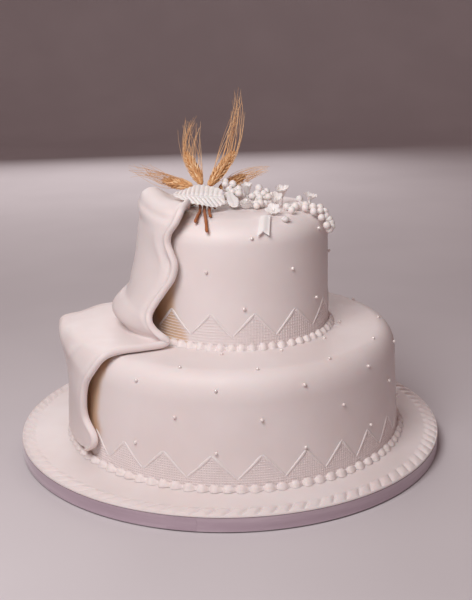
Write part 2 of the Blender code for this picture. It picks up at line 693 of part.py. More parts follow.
def make_bud(material):
    """A closed bud that lies on the front shoulder."""
    start, end = icing_point((40.5, -65), 2.9 * MM), icing_point((48, -62.5), 2.9 * MM)
    shares = (0.0, 0.25, 0.6, 1.0)
    radii = [0.9 * MM, 2.4 * MM, 2.1 * MM, 0.6 * MM]
    return tube("bud", [start.lerp(end, s) for s in shares], radii, 7, material)


def make_ribbon_tail(material):
    """A strip of paste with a notched end that hangs over the front shoulder."""
    shares = (0.92, 0.77, 0.60, 0.42, 0.24)
    rows = []
    for i, share in enumerate(shares):
        row = []
        for j in range(5):
            v = j / 2 - 1
            notch = 0.09 * (1 - abs(v)) if i == len(shares) - 1 else 0.0
            radius, height = shoulder_ring(UPPER, share + notch)
            x = (26.6 - 0.7 * i + v * 4.8) * MM
            lift = (1.9 + 0.5 * math.cos(2.4 * v) + 0.35 * i) * MM
            y = -math.sqrt((radius + lift * (1 - share)) ** 2 - x * x)
            row.append(Vector((UPPER["centre"][0] + x, UPPER["centre"][1] + y, height + lift)))
        rows.append(row)
    return make_sheet("ribbon_tail", rows, 0.9 * MM, material)


def make_wheat(name, stalk, material):
    """A dried stalk: straw, a lumpy ear and its long awns, as one solid."""
    stem = [Vector(p) for p in stalk["stem"]]
    base, tip = (Vector(p) for p in stalk["ear"])
    path = stem + [base]
    points, radii = [], []
    for i in range(2 * (len(path) - 1)):
        points.append(top_point(spline(path, i / 2)))
        radii.append(STEM_RADIUS)
    for i, size in enumerate(EAR_SHAPE):
        points.append(top_point(base.lerp(tip, i / (len(EAR_SHAPE) - 1))))
        radii.append(EAR_RADIUS * size * (1.08 if i % 2 else 0.9))
    body = tube(name, points, radii, 6, material, flatten=0.72)
    reach = Vector(stalk["awns"])
    awns = []
    for i in range(AWNS_PER_EAR):
        share = 0.25 + 0.65 * i / (AWNS_PER_EAR - 1)
        root = base.lerp(tip, share)
        ring = i * GOLDEN_ANGLE
        fan = Vector((math.cos(ring), 0.5 * math.sin(ring), 0.5 * math.sin(ring))) * stalk["spread"]
        end = reach + fan * (1 - 0.5 * share) - (reach - tip) * 0.35 * (1 - share)
        radii = [AWN_RADIUS * 1.6, AWN_RADIUS]
        awns.append(tube("awn", [top_point(root), top_point(end)], radii, 3, material))
    return fuse(body, awns)


def build():
    """Make every piece of the cake."""
    clear_scene()
    icing = make_material("Sugar paste", (0.80, 0.70, 0.69), 0.55)
    piping = make_material("Royal icing", (0.86, 0.77, 0.73), 0.6)
    drum = make_material("Board foil", (0.62, 0.60, 0.62), 0.4)
    satin = make_material("Lilac satin", (0.40, 0.30, 0.37), 0.35)
    straw = make_material("Dried wheat", (0.55, 0.31, 0.12), 0.7)

    make_board(drum, satin, icing)
    lower = make_tier("lower_tier", LOWER, LOWER_ZIGZAG, icing)
    fuse(lower, make_pearls(LOWER, LOWER_PEARLS, LOWER_SWAG_SPAN, LEDGE_PEARLS, icing))
    upper = make_tier("upper_tier", UPPER, UPPER_ZIGZAG, icing)
    fuse(upper, make_pearls(UPPER, UPPER_PEARLS, UPPER_SWAG_SPAN, [], icing))
    make_border("lower_border", LOWER, LOWER_SHELLS, piping)
    make_border("upper_border", UPPER, UPPER_SHELLS, piping)
    make_swag(icing)
    make_leaves(icing)
    make_grapes("grapes_left", GRAPES_LEFT, GRAPE_LUMPS_LEFT, icing)
    make_grapes("grapes_middle", GRAPES_MIDDLE, GRAPE_LUMPS_MIDDLE, icing)
    make_grapes("grapes_right", GRAPES_RIGHT, GRAPE_LUMPS_RIGHT, icing)
    for i, blossom in enumerate(BLOSSOMS):
        make_blossom(f"blossom_{i + 1}", *blossom, icing)
    make_rose(icing)
    make_bud(icing)
    make_ribbon_tail(icing)
    for i, stalk in enumerate(WHEAT):
        make_wheat(f"wheat_{i + 1}", stalk, straw)


build()
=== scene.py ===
"""Looks of the two-tier wedding cake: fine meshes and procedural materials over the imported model.

Metres, +Z up, with the origin at the centre of the board's underside and the front towards -Y.
Angles are in degrees, anticlockwise from +X. The named sizes are those of the part's source.
"""
import math
import random

import bpy
import bmesh
from mathutils import Matrix, Vector, noise


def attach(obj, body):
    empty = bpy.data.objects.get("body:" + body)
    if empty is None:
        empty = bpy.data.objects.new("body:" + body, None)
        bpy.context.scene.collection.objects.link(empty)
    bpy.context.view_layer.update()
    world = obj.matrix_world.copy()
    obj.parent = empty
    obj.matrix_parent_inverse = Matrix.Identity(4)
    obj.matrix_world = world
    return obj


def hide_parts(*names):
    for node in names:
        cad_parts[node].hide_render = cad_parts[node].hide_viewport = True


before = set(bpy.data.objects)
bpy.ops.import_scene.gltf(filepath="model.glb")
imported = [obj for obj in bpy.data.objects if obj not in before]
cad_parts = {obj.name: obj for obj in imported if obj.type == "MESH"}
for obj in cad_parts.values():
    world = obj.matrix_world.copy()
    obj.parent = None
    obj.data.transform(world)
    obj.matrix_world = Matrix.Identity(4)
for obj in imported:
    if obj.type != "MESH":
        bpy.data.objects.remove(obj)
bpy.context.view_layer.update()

MM = 0.001
GAP = 0.3 * MM

# Camera and framing
CAMERA_PLACE = Vector((0.00736, -0.89438, 0.39360))
CAMERA_TARGET = Vector((0.00736, 0.0, 0.13579))
CAMERA_LENS = 38.64
CAMERA_SENSOR_HEIGHT = 24.0
CAMERA_ROLL = -0.715

# Lights, room and floor: places and sizes in metres, energy in watts
KEY_LIGHT = {"place": (-0.25, -0.61, 0.78), "size": 0.42, "energy": 6.0, "colour": (1.0, 0.98, 0.98)}
BACK_LIGHT = {"place": (-0.3, 1.7, 0.9), "size": 1.4, "energy": 12.0, "colour": (1.0, 0.95, 0.95)}
LIGHT_TARGET = (0, 0, 0.12)
ROOM_COLOUR = (1.0, 0.72, 0.70, 1.0)
ROOM_STRENGTH = 0.22
FLOOR_REACH = 8.0
FLOOR_BEND_START = 2.4
FLOOR_BEND_RADIUS = 0.9
BACKDROP_TOP = 4.4
FLOOR_SINK = 0.0003        # how far the floor lies under the board

# Board
BOARD_RADIUS = 203.2 * MM
DRUM_HEIGHT = 12.2 * MM
RIBBON_THICKNESS = 0.7 * MM
RIBBON_BOTTOM = 1.2 * MM
RIBBON_TOP = 13.0 * MM
PASTE_TOP = 15.8 * MM
PASTE_RADIUS = 203.0 * MM
CRIMP_COUNT = 96
CRIMP_INNER = 189 * MM
CRIMP_OUTER = 201.2 * MM
CRIMP_HEIGHT = 1.5 * MM
CRIMP_SLANT = -1.4
RIBBON_JOIN = (-104.5, -97.5)  # angles between which the ribbon's end lies over its start

# Tiers
LEDGE = 116.0 * MM
TOP = 228.3 * MM
LOWER = {
    "centre": (5.4 * MM, -1.6 * MM), "base": PASTE_TOP + GAP, "top": LEDGE,
    "base_radius": 158.5 * MM, "top_radius": 154.5 * MM,
    "shoulder_width": 20 * MM, "shoulder_drop": 29 * MM, "squareness": 2.5, "seed": 3.1,
}
UPPER = {
    "centre": (7.6 * MM, -1.6 * MM), "base": LEDGE + GAP, "top": TOP,
    "base_radius": 88.0 * MM, "top_radius": 86.7 * MM,
    "shoulder_width": 27 * MM, "shoulder_drop": 22.5 * MM, "squareness": 2.4, "seed": 8.7,
}
WOBBLE = 0.3 * MM          # how far the hand-laid icing strays from a true surface

# Zigzag and net
LOWER_ZIGZAG = {
    "points": 25, "front_peaks": [-127.7, -112.9, -97.3, -81.7, -67.6, -54.2, -41.9, -27.8],
    "valley": 9.2 * MM, "peak": 30.0 * MM, "gap": (-203.0, -139.0),
    "net_pitch": 2.2 * MM, "net_uprights_gap": (-203.0, -139.0),
}
UPPER_ZIGZAG = {
    "points": 14, "front_peaks": [-131.1, -104.9, -79.5, -53.5, -23.6],
    "valley": 10.8 * MM, "peak": 32.0 * MM, "gap": (-232.0, -144.0),
    "net_pitch": 2.7 * MM, "net_uprights_gap": (-232.0, -92.0),
}
NET_HALF_WIDTH = 0.38 * MM
NET_PROUD = 0.34 * MM
STROKE_FAT, STROKE_THIN = 1.6 * MM, 1.05 * MM  # half widths of a stroke at its peak and in its valley
STROKE_PROUD = 0.85 * MM

# Pearls
PEARL_RADIUS = 1.5 * MM
LOWER_PEARLS = [(-40.3, 87 * MM, 13), (-53.8, 61.5 * MM, 13), (-67.7, 33 * MM, 13)]
UPPER_PEARLS = [(-80.8, 98.5 * MM, 7), (-55.7, 69.5 * MM, 7), (-85.8, 36.4 * MM, 7)]
LEDGE_PEARLS = [(-81.8, 140 * MM, 13), (-66.3, 101.3 * MM, 12)]

# Shell borders
BORDER_REACH = 6.8 * MM
BORDER_HEIGHT = 5.4 * MM
LOWER_SHELLS = 88
UPPER_SHELLS = 60

# Swag, with the rows of the part's source
SWAG_ROWS = [
    (57.0, 116.2, -136.0, 35.0, 115.2, 55.0, 115.8, -224.0),
    (68.0, 124.0, -125.5, 56.0, 119.6, 69.0, 114.8, -227.0),
    (86.0, 121.0, -120.5, 76.5, 129.0, 86.5, 107.5, -235.0),
    (92.0, 111.5, -121.8, 88.4, 121.0, 91.0, 98.0, -236.0),
    (94.0, 101.5, -125.8, 87.0, 107.5, 91.6, 92.0, -232.0),
    (94.0, 93.5, -126.6, 88.7, 99.0, 92.0, 86.0, -230.0),
    (94.0, 85.5, -124.6, 89.9, 90.5, 92.4, 80.0, -231.0),
    (94.0, 77.5, -122.4, 91.2, 82.0, 92.8, 74.0, -234.0),
    (94.5, 70.0, -122.4, 92.7, 73.0, 93.4, 67.0, -236.0),
    (96.0, 60.5, -124.2, 94.9, 62.5, 94.4, 59.0, -236.0),
    (99.0, 50.5, -128.0, 97.8, 52.0, 96.0, 50.0, -233.0),
    (103.5, 40.5, -131.2, 99.8, 43.5, 98.0, 41.0, -227.0),
    (108.0, 31.3, -133.0, 103.4, 35.7, 100.0, 33.0, -220.0),
    (110.5, 24.5, -131.9, 111.2, 29.3, 102.5, 26.0, -214.0),
    (109.0, 18.0, -129.4, 116.4, 22.7, 104.5, 19.5, -212.0),
    (106.0, 12.6, -125.8, 115.0, 16.0, 105.0, 13.0, -212.0),
    (102.2, 7.8, -124.0, 107.5, 8.8, 106.0, 7.4, -213.0),
    (105.8, 4.4, -124.8, 106.5, 3.4, 109.0, 3.4, -211.0),
    (121.4, 4.0, -129.3, 121.0, 2.6, 122.0, 2.8, -206.0),
    (141.0, 4.0, -133.4, 141.0, 2.6, 140.5, 2.7, -199.0),
    (156.0, 1.0, -135.0, 156.0, 2.4, 151.5, 2.8, -188.5),
    (163.5, -13.0, -138.0, 163.4, -5.0, 166.0, 2.2, -182.5),
    (165.5, -25.0, -140.6, 161.0, -20.0, 166.2, -8.0, -181.5),
    (166.0, -40.0, -142.0, 160.0, -36.0, 160.8, -22.0, -186.0),
    (164.8, -57.0, -142.4, 159.4, -53.0, 160.6, -45.0, -192.0),
    (163.9, -71.0, -138.4, 160.6, -70.0, 161.6, -68.0, -198.0),
    (163.9, -81.0, -138.6, 161.2, -82.0, 162.0, -80.0, -196.0),
    (163.9, -90.0, -143.0, 161.6, -92.0, 162.2, -91.0, -190.0),
]
SWAG_HALF_THICKNESS = 1.6 * MM
SWAG_HEM_RADIUS = 3.5 * MM
HEM_PROUD = 0.8 * MM       # how far the rolled hem stands out from the sheet
# Painted warm shade on the tier walls under and just ahead of the swag's front hem, where the hem shades them
HEM_SHADE_LOWEST = -100.0  # height over the ledge in millimetres of the first reach below
HEM_SHADE_STEP = 20.0
HEM_SHADE_REACH = (-3.0, -3.0, 5.0, 8.0, 7.0, 9.0, 12.0, 7.0, 0.0, -4.0, -4.0, -4.0, -4.0)
HEM_SHADE_FADE = 9.0 * MM
HEM_SHADE_DEPTH = 30.0 * MM
SWAG_BACK_HEM_RADIUS = 1.9 * MM
LOWER_SWAG_SPAN = (-203.0, -137.0)
LEDGE_SWAG_SPAN = (-226.0, -122.0)
UPPER_SWAG_SPAN = (-240.0, -119.0)

# Grapes and flowers, in millimetres from the upper tier's centre and top
GRAPE_RADIUS = 3.45 * MM
GRAPES_LEFT = [
    (-9, 14, 20.6), (-2, 8, 19.0), (-9, 5, 19.4), (-2.5, -1.2, 12.8), (3.6, -2.3, 11.4), (3.5, 5, 14.5),
    (-3, 15.5, 15.6), (3, 12.5, 10.0), (0, 17, 6.5), (6.5, 6.5, 6.5), (-7.5, 0, 8.2),
]
GRAPE_LUMPS_LEFT = [(-1, 7, 8.8, 8.2), (-6, 9, 15, 5.5)]
GRAPES_MIDDLE = [
    (16, -3, 8.9), (20.5, 4, 10.2), (22.5, 7, 14.9), (27, 4, 10.4), (23, -7, 7.9), (23, -18.5, 5.4),
    (19.7, -22.5, 3.9), (31, -3, 8.3), (34.4, 2.5, 8.3), (29.5, 11, 10.8), (25.4, 14.8, 6.2), (20, 10, 5.8),
    (19.5, -13.5, 3.9), (27.5, -13.5, 3.9),
]
GRAPE_LUMPS_MIDDLE = [(21.5, 0, 5.6, 5.2), (27, 7, 5.6, 5.2), (30.5, -1, 4.6, 4.2), (23, -15.5, 4.0, 3.6)]
GRAPES_RIGHT = [
    (46.7, -28.5, 3.8), (50.2, -45.5, 3.8), (54.4, -30.8, 4.3), (57.7, -26.4, 3.8), (59.0, -18.0, 8.6),
    (63.1, -34.5, 3.5), (70.4, -38.0, 0.9), (77.3, -40.3, -4.4), (77.4, -22.0, 1.4), (81.6, -25.0, -1.8),
    (82.5, -27.6, -5.4), (85.4, -28.0, -8.6), (87.1, -29.0, -11.8), (82.3, -39.6, -11.7), (87.2, -32.7, -14.2),
    (84.9, -36.5, -16.1), (64.0, -26.0, 4.6), (70.5, -29.5, 3.2), (77.0, -31.5, -0.2), (60.0, -22.0, 4.2),
]
BLOSSOMS = [
    (11.5, 14.0, 16.5, 5.4, 8, 0),
    (43.5, 0.0, 15.5, 6.4, 14, 0),
    (70.0, 6.5, 8.2, 6.2, 6, 14),
    (37.5, -14.5, 11.0, 5.6, 34, 4),
    (34.0, -48.5, 5.6, 6.2, 36, -10),
]
ROSE_PLACE = (9.9, -17.5)
ROSE_RADIUS = 6.5 * MM
ROSE_HEIGHT = 8.6 * MM

# Wheat
STEM_RADIUS = 1.5 * MM
EAR_RADIUS = 7.0 * MM
EAR_SHAPE = (0.55, 0.84, 1.0, 1.0, 0.95, 0.86, 0.68, 0.36)
AWNS_PER_EAR = 34
WHEAT = [
    {"stem": [(-34.5, -72, -0.2), (-33.0, -58, 2.0), (-31.6, -42, 2.4), (-32.0, -22, 5.0), (-36.0, -2, 12.0)],
     "ear": [(-41.5, 8, 17.6), (-68.0, 25, 20.0)], "awns": (-97.0, 24, 34.0), "spread": 19},
    {"stem": [(-24.5, -84, -6.2), (-25.2, -73, -0.9), (-26.4, -58, 2.0), (-27.4, -40, 2.4), (-27.8, -22, 5.0),
              (-30.0, -4, 12.5)],
     "ear": [(-32.0, 5, 21.0), (-46.0, 27, 46.5)], "awns": (-38.0, 36, 81.0), "spread": 15},
    {"stem": [(-21.6, -60, 2.0), (-22.8, -44, 2.2), (-23.2, -22, 5.0), (-23.4, -4, 12.0)],
     "ear": [(-23.0, 5, 19.5), (0.0, 28, 46.5)], "awns": (5.0, 44, 106.0), "spread": 9},
    {"stem": [(-18.6, -27, 3.2), (-18.8, -20, 4.6), (-18.0, 0, 8.0), (-15.5, 12, 10.5)],
     "ear": [(-13.5, 18, 13.0), (9.0, 38, 21.5)], "awns": (33.0, 46, 28.5), "spread": 10},
]
GOLDEN_ANGLE = math.pi * (3 - math.sqrt(5))


class Shape:
    """Points and faces of one piece, gathered from several forms, with a tone from 0 to 1 at each point."""

    def __init__(self):
        self.points, self.faces, self.tones = [], [], []

    def add(self, points, faces, tone=0.5):
        start = len(self.points)
        self.points += points
        self.faces += [tuple(start + i for i in face) for face in faces]
        self.tones += [tone] * len(points)

    def piece(self, name, material, nodes=(), sharp=40, coordinates=None):
        """Turn the shape into a piece of the cake that stands for the named nodes."""
        mesh = bpy.data.meshes.new(name)
        mesh.from_pydata([tuple(p) for p in self.points], [], self.faces)
        tone = mesh.attributes.new("Tone", "FLOAT", "POINT")
        tone.data.foreach_set("value", self.tones)
        if coordinates:
            layer = mesh.uv_layers.new(name="UVMap")
            for loop in mesh.loops:
                layer.data[loop.index].uv = coordinates[loop.vertex_index]
        work = bmesh.new()
        work.from_mesh(mesh)
        bmesh.ops.recalc_face_normals(work, faces=work.faces)
        work.to_mesh(mesh)
        work.free()
        mesh.shade_smooth()
        mesh.set_sharp_from_angle(angle=math.radians(sharp))
        mesh.materials.append(material)
        thing = bpy.data.objects.new(name, mesh)
        bpy.context.scene.collection.objects.link(thing)
        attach(thing, "root")
        if nodes:
            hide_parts(*nodes)
        return thing


def turn_angles(count):
    """Angles in radians once round."""
    return [2 * math.pi * k / count for k in range(count)]


def smooth_step(x):
    """0 below 0, 1 above 1, and smooth between."""
    x = min(1.0, max(0.0, x))
    return x * x * (3 - 2 * x)


def hill(x, middle, width):
    """A smooth hump of height 1."""
    return math.exp(-((x - middle) / width) ** 2)


def spline(rows, u):
    """A value of the smooth curve through rows, with u running from 0 to the last row's index."""
    i = min(int(u), len(rows) - 2)
    f = u - i
    before = rows[max(i - 1, 0)]
    after = rows[min(i + 2, len(rows) - 1)]
    result = []
    for a, b, c, d in zip(before, rows[i], rows[i + 1], after):
        slope_b, slope_c = (c - a) / 2, (d - b) / 2
        result.append(
            b * (1 + 2 * f) * (1 - f) ** 2 + slope_b * f * (1 - f) ** 2
            + c * f * f * (3 - 2 * f) + slope_c * f * f * (f - 1)
        )
    return result


def polar(centre, radius, degrees, height):
    """The point at an angle and a radius round a centre."""
    angle = math.radians(degrees)
    return Vector((centre[0] + radius * math.cos(angle), centre[1] + radius * math.sin(angle), height))


def skin(loops, ends="flat", around=False):
    """Points and faces of a skin over closed loops of equal length."""
    count = len(loops[0])
    points = [p for loop in loops for p in loop]
    faces = []
    spans = len(loops) if around else len(loops) - 1
    for i in range(spans):
        here, there = i * count, ((i + 1) % len(loops)) * count
        for j in range(count):
            k = (j + 1) % count
            faces.append((here + j, here + k, there + k, there + j))
    if ends == "flat" and not around:
        faces.append(tuple(reversed(range(count))))
        faces.append(tuple(range(len(points) - count, len(points))))
    return points, faces


def ball(place, radius, around=16, rings=10, stretch=None):
    """Points and faces of a ball, stretched by a matrix if one is given."""
    turn = stretch or Matrix.Identity(3)
    points = [place + turn @ Vector((0, 0, -radius))]
    for i in range(1, rings):
        a = math.pi * i / rings
        points += [
            place + turn @ Vector((radius * math.sin(a) * math.cos(t), radius * math.sin(a) * math.sin(t),
                                   -radius * math.cos(a)))
            for t in turn_angles(around)
        ]
    points.append(place + turn @ Vector((0, 0, radius)))
    faces = []
    for k in range(around):
        after = (k + 1) % around
        faces.append((0, 1 + after, 1 + k))
        for i in range(rings - 2):
            a, b = 1 + i * around, 1 + (i + 1) * around
            faces.append((a + k, a + after, b + after, b + k))
        last = 1 + (rings - 2) * around
        faces.append((last + k, last + after, len(points) - 1))
    return points, faces


def rope(points, radii, sides=8):
    """Points and faces of a rod along points, with rounded ends."""
    first, last = (points[0] - points[1]).normalized(), (points[-1] - points[-2]).normalized()
    points = [points[0] + first * radii[0] * 0.85, points[0] + first * radii[0] * 0.5, *points,
              points[-1] + last * radii[-1] * 0.5, points[-1] + last * radii[-1] * 0.85]
    radii = [radii[0] * 0.45, radii[0] * 0.85, *radii, radii[-1] * 0.85, radii[-1] * 0.45]
    loops = []
    side = None
    for i, (point, radius) in enumerate(zip(points, radii)):
        along = (points[min(i + 1, len(points) - 1)] - points[max(i - 1, 0)]).normalized()
        if side is None:
            side = along.cross(Vector((0.02, 1, 0.05)))
        side = (side - along * side.dot(along)).normalized()
        up = along.cross(side)
        loops.append([
            point + side * radius * math.cos(a) + up * radius * math.sin(a) for a in turn_angles(sides)
        ])
    return skin(loops)


def hair(points, radii):
    """Points and faces of a three-sided hair that tapers to its tip."""
    loops = []
    for i, (point, radius) in enumerate(zip(points, radii)):
        along = (points[min(i + 1, len(points) - 1)] - points[max(i - 1, 0)]).normalized()
        side = along.cross(Vector((0, 1, 0.02))).normalized()
        up = along.cross(side)
        loops.append([point + (side * math.cos(a) + up * math.sin(a)) * radius for a in turn_angles(3)])
    return skin(loops)


# Materials

class Nodes:
    """A material's node tree with short ways to add nodes to it."""

    def __init__(self, name, colour, roughness):
        self.material = bpy.data.materials.new(name)
        self.material.use_nodes = True
        self.tree = self.material.node_tree
        self.shader = self.tree.nodes["Principled BSDF"]
        self.shader.inputs["Base Color"].default_value = (*colour, 1.0)
        self.shader.inputs["Roughness"].default_value = roughness
        self.place = self.tree.nodes.new("ShaderNodeTexCoord").outputs["Object"]

    def link(self, start, end):
        self.tree.links.new(start, end)

    def noise(self, scale, detail=3.0, roughness=0.55, place=None):
        node = self.tree.nodes.new("ShaderNodeTexNoise")
        node.inputs["Scale"].default_value = scale
        node.inputs["Detail"].default_value = detail
        node.inputs["Roughness"].default_value = roughness
        self.link(place or self.place, node.inputs["Vector"])
        return node.outputs["Fac"]

    def stretched(self, factors, place=None):
        node = self.tree.nodes.new("ShaderNodeMapping")
        node.inputs["Scale"].default_value = factors
        self.link(place or self.place, node.inputs["Vector"])
        return node.outputs["Vector"]

    def attribute(self, name):
        node = self.tree.nodes.new("ShaderNodeAttribute")
        node.attribute_name = name
        return node.outputs["Fac"]

    def ramp(self, value, stops):
        node = self.tree.nodes.new("ShaderNodeValToRGB")
        ramp = node.color_ramp
        while len(ramp.elements) < len(stops):
            ramp.elements.new(0.5)
        for element, (position, colour) in zip(ramp.elements, stops):
            element.position = position
            element.color = (*colour, 1.0)
        self.link(value, node.inputs["Fac"])
        return node.outputs["Color"]

    def mix(self, factor, first, second, mode="MIX"):
        node = self.tree.nodes.new("ShaderNodeMix")
        node.data_type = "RGBA"
        node.blend_type = mode
        if isinstance(factor, float):
            node.inputs[0].default_value = factor
        else:
            self.link(factor, node.inputs[0])
        for socket, value in ((node.inputs[6], first), (node.inputs[7], second)):
            if isinstance(value, tuple):
                socket.default_value = (*value, 1.0)
            else:
                self.link(value, socket)
        return node.outputs[2]

    def math(self, kind, first, second):
        node = self.tree.nodes.new("ShaderNodeMath")
        node.operation = kind
        for socket, value in ((node.inputs[0], first), (node.inputs[1], second)):
            if isinstance(value, float):
                socket.default_value = value
            else:
                self.link(value, socket)
        return node.outputs[0]

    def bump(self, height, distance, strength=1.0, normal=None):
        node = self.tree.nodes.new("ShaderNodeBump")
        node.inputs["Distance"].default_value = distance
        node.inputs["Strength"].default_value = strength
        self.link(height, node.inputs["Height"])
        if normal:
            self.link(normal, node.inputs["Normal"])
        return node.outputs["Normal"]

    def colour(self, value):
        self.link(value, self.shader.inputs["Base Color"])

    def normal(self, value):
        self.link(value, self.shader.inputs["Normal"])

    def rough(self, value):
        self.link(value, self.shader.inputs["Roughness"])


def paste_material(name, light, dark, roughness=0.5, grain=0.25, painted_shade=None):
    """Rolled sugar paste: softly mottled, slightly see-through, with a fine dusty grain, and a warm colour of
    painted shade mixed in where the mesh asks for it.
    """
    n = Nodes(name, light, roughness)
    mottle = n.ramp(n.noise(14, 3), [(0.38, dark), (0.62, light)])
    # Painted shade: the warm colour where the swag shades the wall and on the swag's underside
    if painted_shade:
        n.colour(n.mix(n.attribute("PaintedShade"), mottle, painted_shade))
    else:
        n.colour(mottle)
    waves = n.bump(n.noise(38, 2), 0.0012, 0.22)
    n.normal(n.bump(n.noise(1300, 2), 0.00012, grain, waves))
    n.rough(n.ramp(n.noise(60, 2), [(0.3, (roughness - 0.06,) * 3), (0.7, (roughness + 0.08,) * 3)]))
    n.shader.inputs["Subsurface Weight"].default_value = 0.22
    n.shader.inputs["Subsurface Radius"].default_value = (1.0, 0.55, 0.4)
    n.shader.inputs["Subsurface Scale"].default_value = 0.004
    n.shader.inputs["Specular IOR Level"].default_value = 0.35
    return n.material


def piping_material(name, dark, light, softness):
    """Royal icing: matt, with tiny pits. softness is how far light passes into it."""
    n = Nodes(name, light, 0.6)
    n.colour(n.ramp(n.noise(180, 3), [(0.35, dark), (0.65, light)]))
    n.normal(n.bump(n.noise(900, 3), 0.0002, 0.35))
    n.shader.inputs["Subsurface Weight"].default_value = softness
    n.shader.inputs["Subsurface Radius"].default_value = (1.0, 0.6, 0.4)
    n.shader.inputs["Subsurface Scale"].default_value = 0.002
    return n.material


def pearl_material():
    """Pearl balls with a soft lustre."""
    n = Nodes("Pearl lustre", (0.90, 0.83, 0.80), 0.22)
    n.colour(n.ramp(n.noise(260, 2), [(0.35, (0.84, 0.74, 0.72)), (0.65, (0.93, 0.88, 0.84))]))
    n.normal(n.bump(n.noise(1500, 1), 0.00005, 0.2))
    n.shader.inputs["Metallic"].default_value = 0.15
    n.shader.inputs["Coat Weight"].default_value = 0.6
    n.shader.inputs["Coat Roughness"].default_value = 0.12
    return n.material


def satin_material():
    """Lilac satin ribbon: fine crosswise threads, and long soft streaks of sheen, painted lighter in the colour
    and made glossier in the roughness.
    """
    n = Nodes("Lilac satin", (0.49, 0.38, 0.445), 0.38)
    uv = n.tree.nodes.new("ShaderNodeUVMap")
    uv.uv_map = "UVMap"
    along = uv.outputs["UV"]
    sheen_streaks = n.noise(1.0, 4, place=n.stretched((9, 130, 1), along))
    # Painted sheen: the colour is lighter along the glossier streaks
    n.colour(n.ramp(sheen_streaks, [
        (0.3, (0.44, 0.335, 0.395)), (0.5, (0.49, 0.38, 0.445)), (0.72, (0.57, 0.46, 0.52)),
    ]))
    threads = n.noise(1.0, 1, place=n.stretched((3500, 260, 1), along))
    waves = n.bump(n.noise(1.0, 2, place=n.stretched((26, 60, 1), along)), 0.0022, 0.5)
    n.normal(n.bump(threads, 0.00008, 0.5, waves))
    n.rough(n.ramp(sheen_streaks, [(0.3, (0.42,) * 3), (0.7, (0.28,) * 3)]))
    n.shader.inputs["Sheen Weight"].default_value = 0.35
    n.shader.inputs["Sheen Roughness"].default_value = 0.4
    return n.material


def foil_material():
    """Silver paper with a fine crackled emboss on the board."""
    n = Nodes("Board foil", (0.62, 0.60, 0.61), 0.34)
    cells = n.tree.nodes.new("ShaderNodeTexVoronoi")
    cells.inputs["Scale"].default_value = 420
    n.link(n.place, cells.inputs["Vector"])
    n.colour(n.ramp(n.noise(30, 3), [(0.35, (0.56, 0.54, 0.55)), (0.65, (0.68, 0.66, 0.67))]))
    n.normal(n.bump(cells.outputs["Distance"], 0.0003, 0.6))
    n.shader.inputs["Metallic"].default_value = 0.75
    return n.material


def wheat_material(name, dark, middle, light, roughness):
    """Dried straw: a fine bumpy surface, with each grain a slightly different gold."""
    n = Nodes(name, middle, roughness)
    tone = n.math("MULTIPLY", n.attribute("Tone"), 0.6)
    spread = n.math("ADD", tone, n.math("MULTIPLY", n.noise(350, 3), 0.4))
    n.colour(n.ramp(spread, [(0.25, dark), (0.5, middle), (0.78, light)]))
    n.normal(n.bump(n.noise(1200, 2), 0.0002, 0.5))
    n.shader.inputs["Specular IOR Level"].default_value = 0.3
    return n.material


# Tiers

def wall_radius(tier, height):
    """Radius of a tier's wall below its shoulder."""
    share = (height - tier["base"]) / (tier["top"] - tier["shoulder_drop"] - tier["base"])
    return tier["base_radius"] + (tier["top_radius"] - tier["base_radius"]) * share


def shoulder_ring(tier, share):
    """Radius, height and outward slope on a tier's shoulder, from its wall at 0 to its flat top at 1."""
    power = 2 / tier["squareness"]

    def at(angle):
        return (tier["top_radius"] - tier["shoulder_width"] * (1 - max(math.cos(angle), 0.0) ** power),
                tier["top"] - tier["shoulder_drop"] * (1 - math.sin(angle) ** power))

    angle = share * math.pi / 2
    radius, height = at(angle)
    below, above = at(max(angle - 0.01, 0.0)), at(min(angle + 0.01, math.pi / 2))
    slope = math.degrees(math.atan2(below[0] - above[0], above[1] - below[1]))
    return radius, height, slope


def shoulder_share(tier, height):
    """How far up its shoulder a tier reaches a height, from 0 to 1."""
    rise = 1 - (tier["top"] - height) / tier["shoulder_drop"]
    return math.asin(rise ** (tier["squareness"] / 2)) * 2 / math.pi


def icing_height(tier, radius):
    """Height of a tier's top or shoulder at a radius from its centre."""
    flat = tier["top_radius"] - tier["shoulder_width"]
    if radius <= flat:
        return tier["top"]
    power = tier["squareness"]
    share = min(1.0, (radius - flat) / tier["shoulder_width"])
    return tier["top"] - tier["shoulder_drop"] * (1 - (1 - share ** power) ** (1 / power))


def icing_at(tier, degrees, radius, height, slope, out=0.0):
    """A point on a tier's uneven icing, or a distance out from it, square to its slope."""
    lean = math.radians(slope)
    point = polar(tier["centre"], radius, degrees, height)
    spot = Vector((point.x / 0.055 + tier["seed"], point.y / 0.055, point.z / 0.04))
    out += WOBBLE * noise.noise(spot)
    return point + polar((0, 0), math.cos(lean), degrees, math.sin(lean)) * out


def wall_at(tier, degrees, height, out=0.0):
    """A point on a tier's wall, or a distance out from it."""
    return icing_at(tier, degrees, wall_radius(tier, height), height, 0.0, out)


def icing_point(place, lift=0.0):
    """A point at a height over the upper tier's icing. place is in millimetres from the tier's centre."""
    x, y = place[0] * MM, place[1] * MM
    radius = math.hypot(x, y)
    flat = UPPER["top_radius"] - UPPER["shoulder_width"]
    height = TOP + lift
    if radius > flat:
        rings = [shoulder_ring(UPPER, step / 60) for step in range(61)]
        ring = min(rings, key=lambda r: abs(r[0] + math.cos(math.radians(r[2])) * lift - radius))
        height = ring[1] + math.sin(math.radians(ring[2])) * lift
    return Vector((UPPER["centre"][0] + x, UPPER["centre"][1] + y, height))


def top_point(place):
    """A point in millimetres from the upper tier's centre and top."""
    x, y = UPPER["centre"]
    return Vector((x + place[0] * MM, y + place[1] * MM, TOP + place[2] * MM))


def under_swag(degrees, span):
    """Whether an angle lies in the stretch that the swag covers."""
    low, high = span
    return low < (degrees - high) % 360 + high - 360 < high


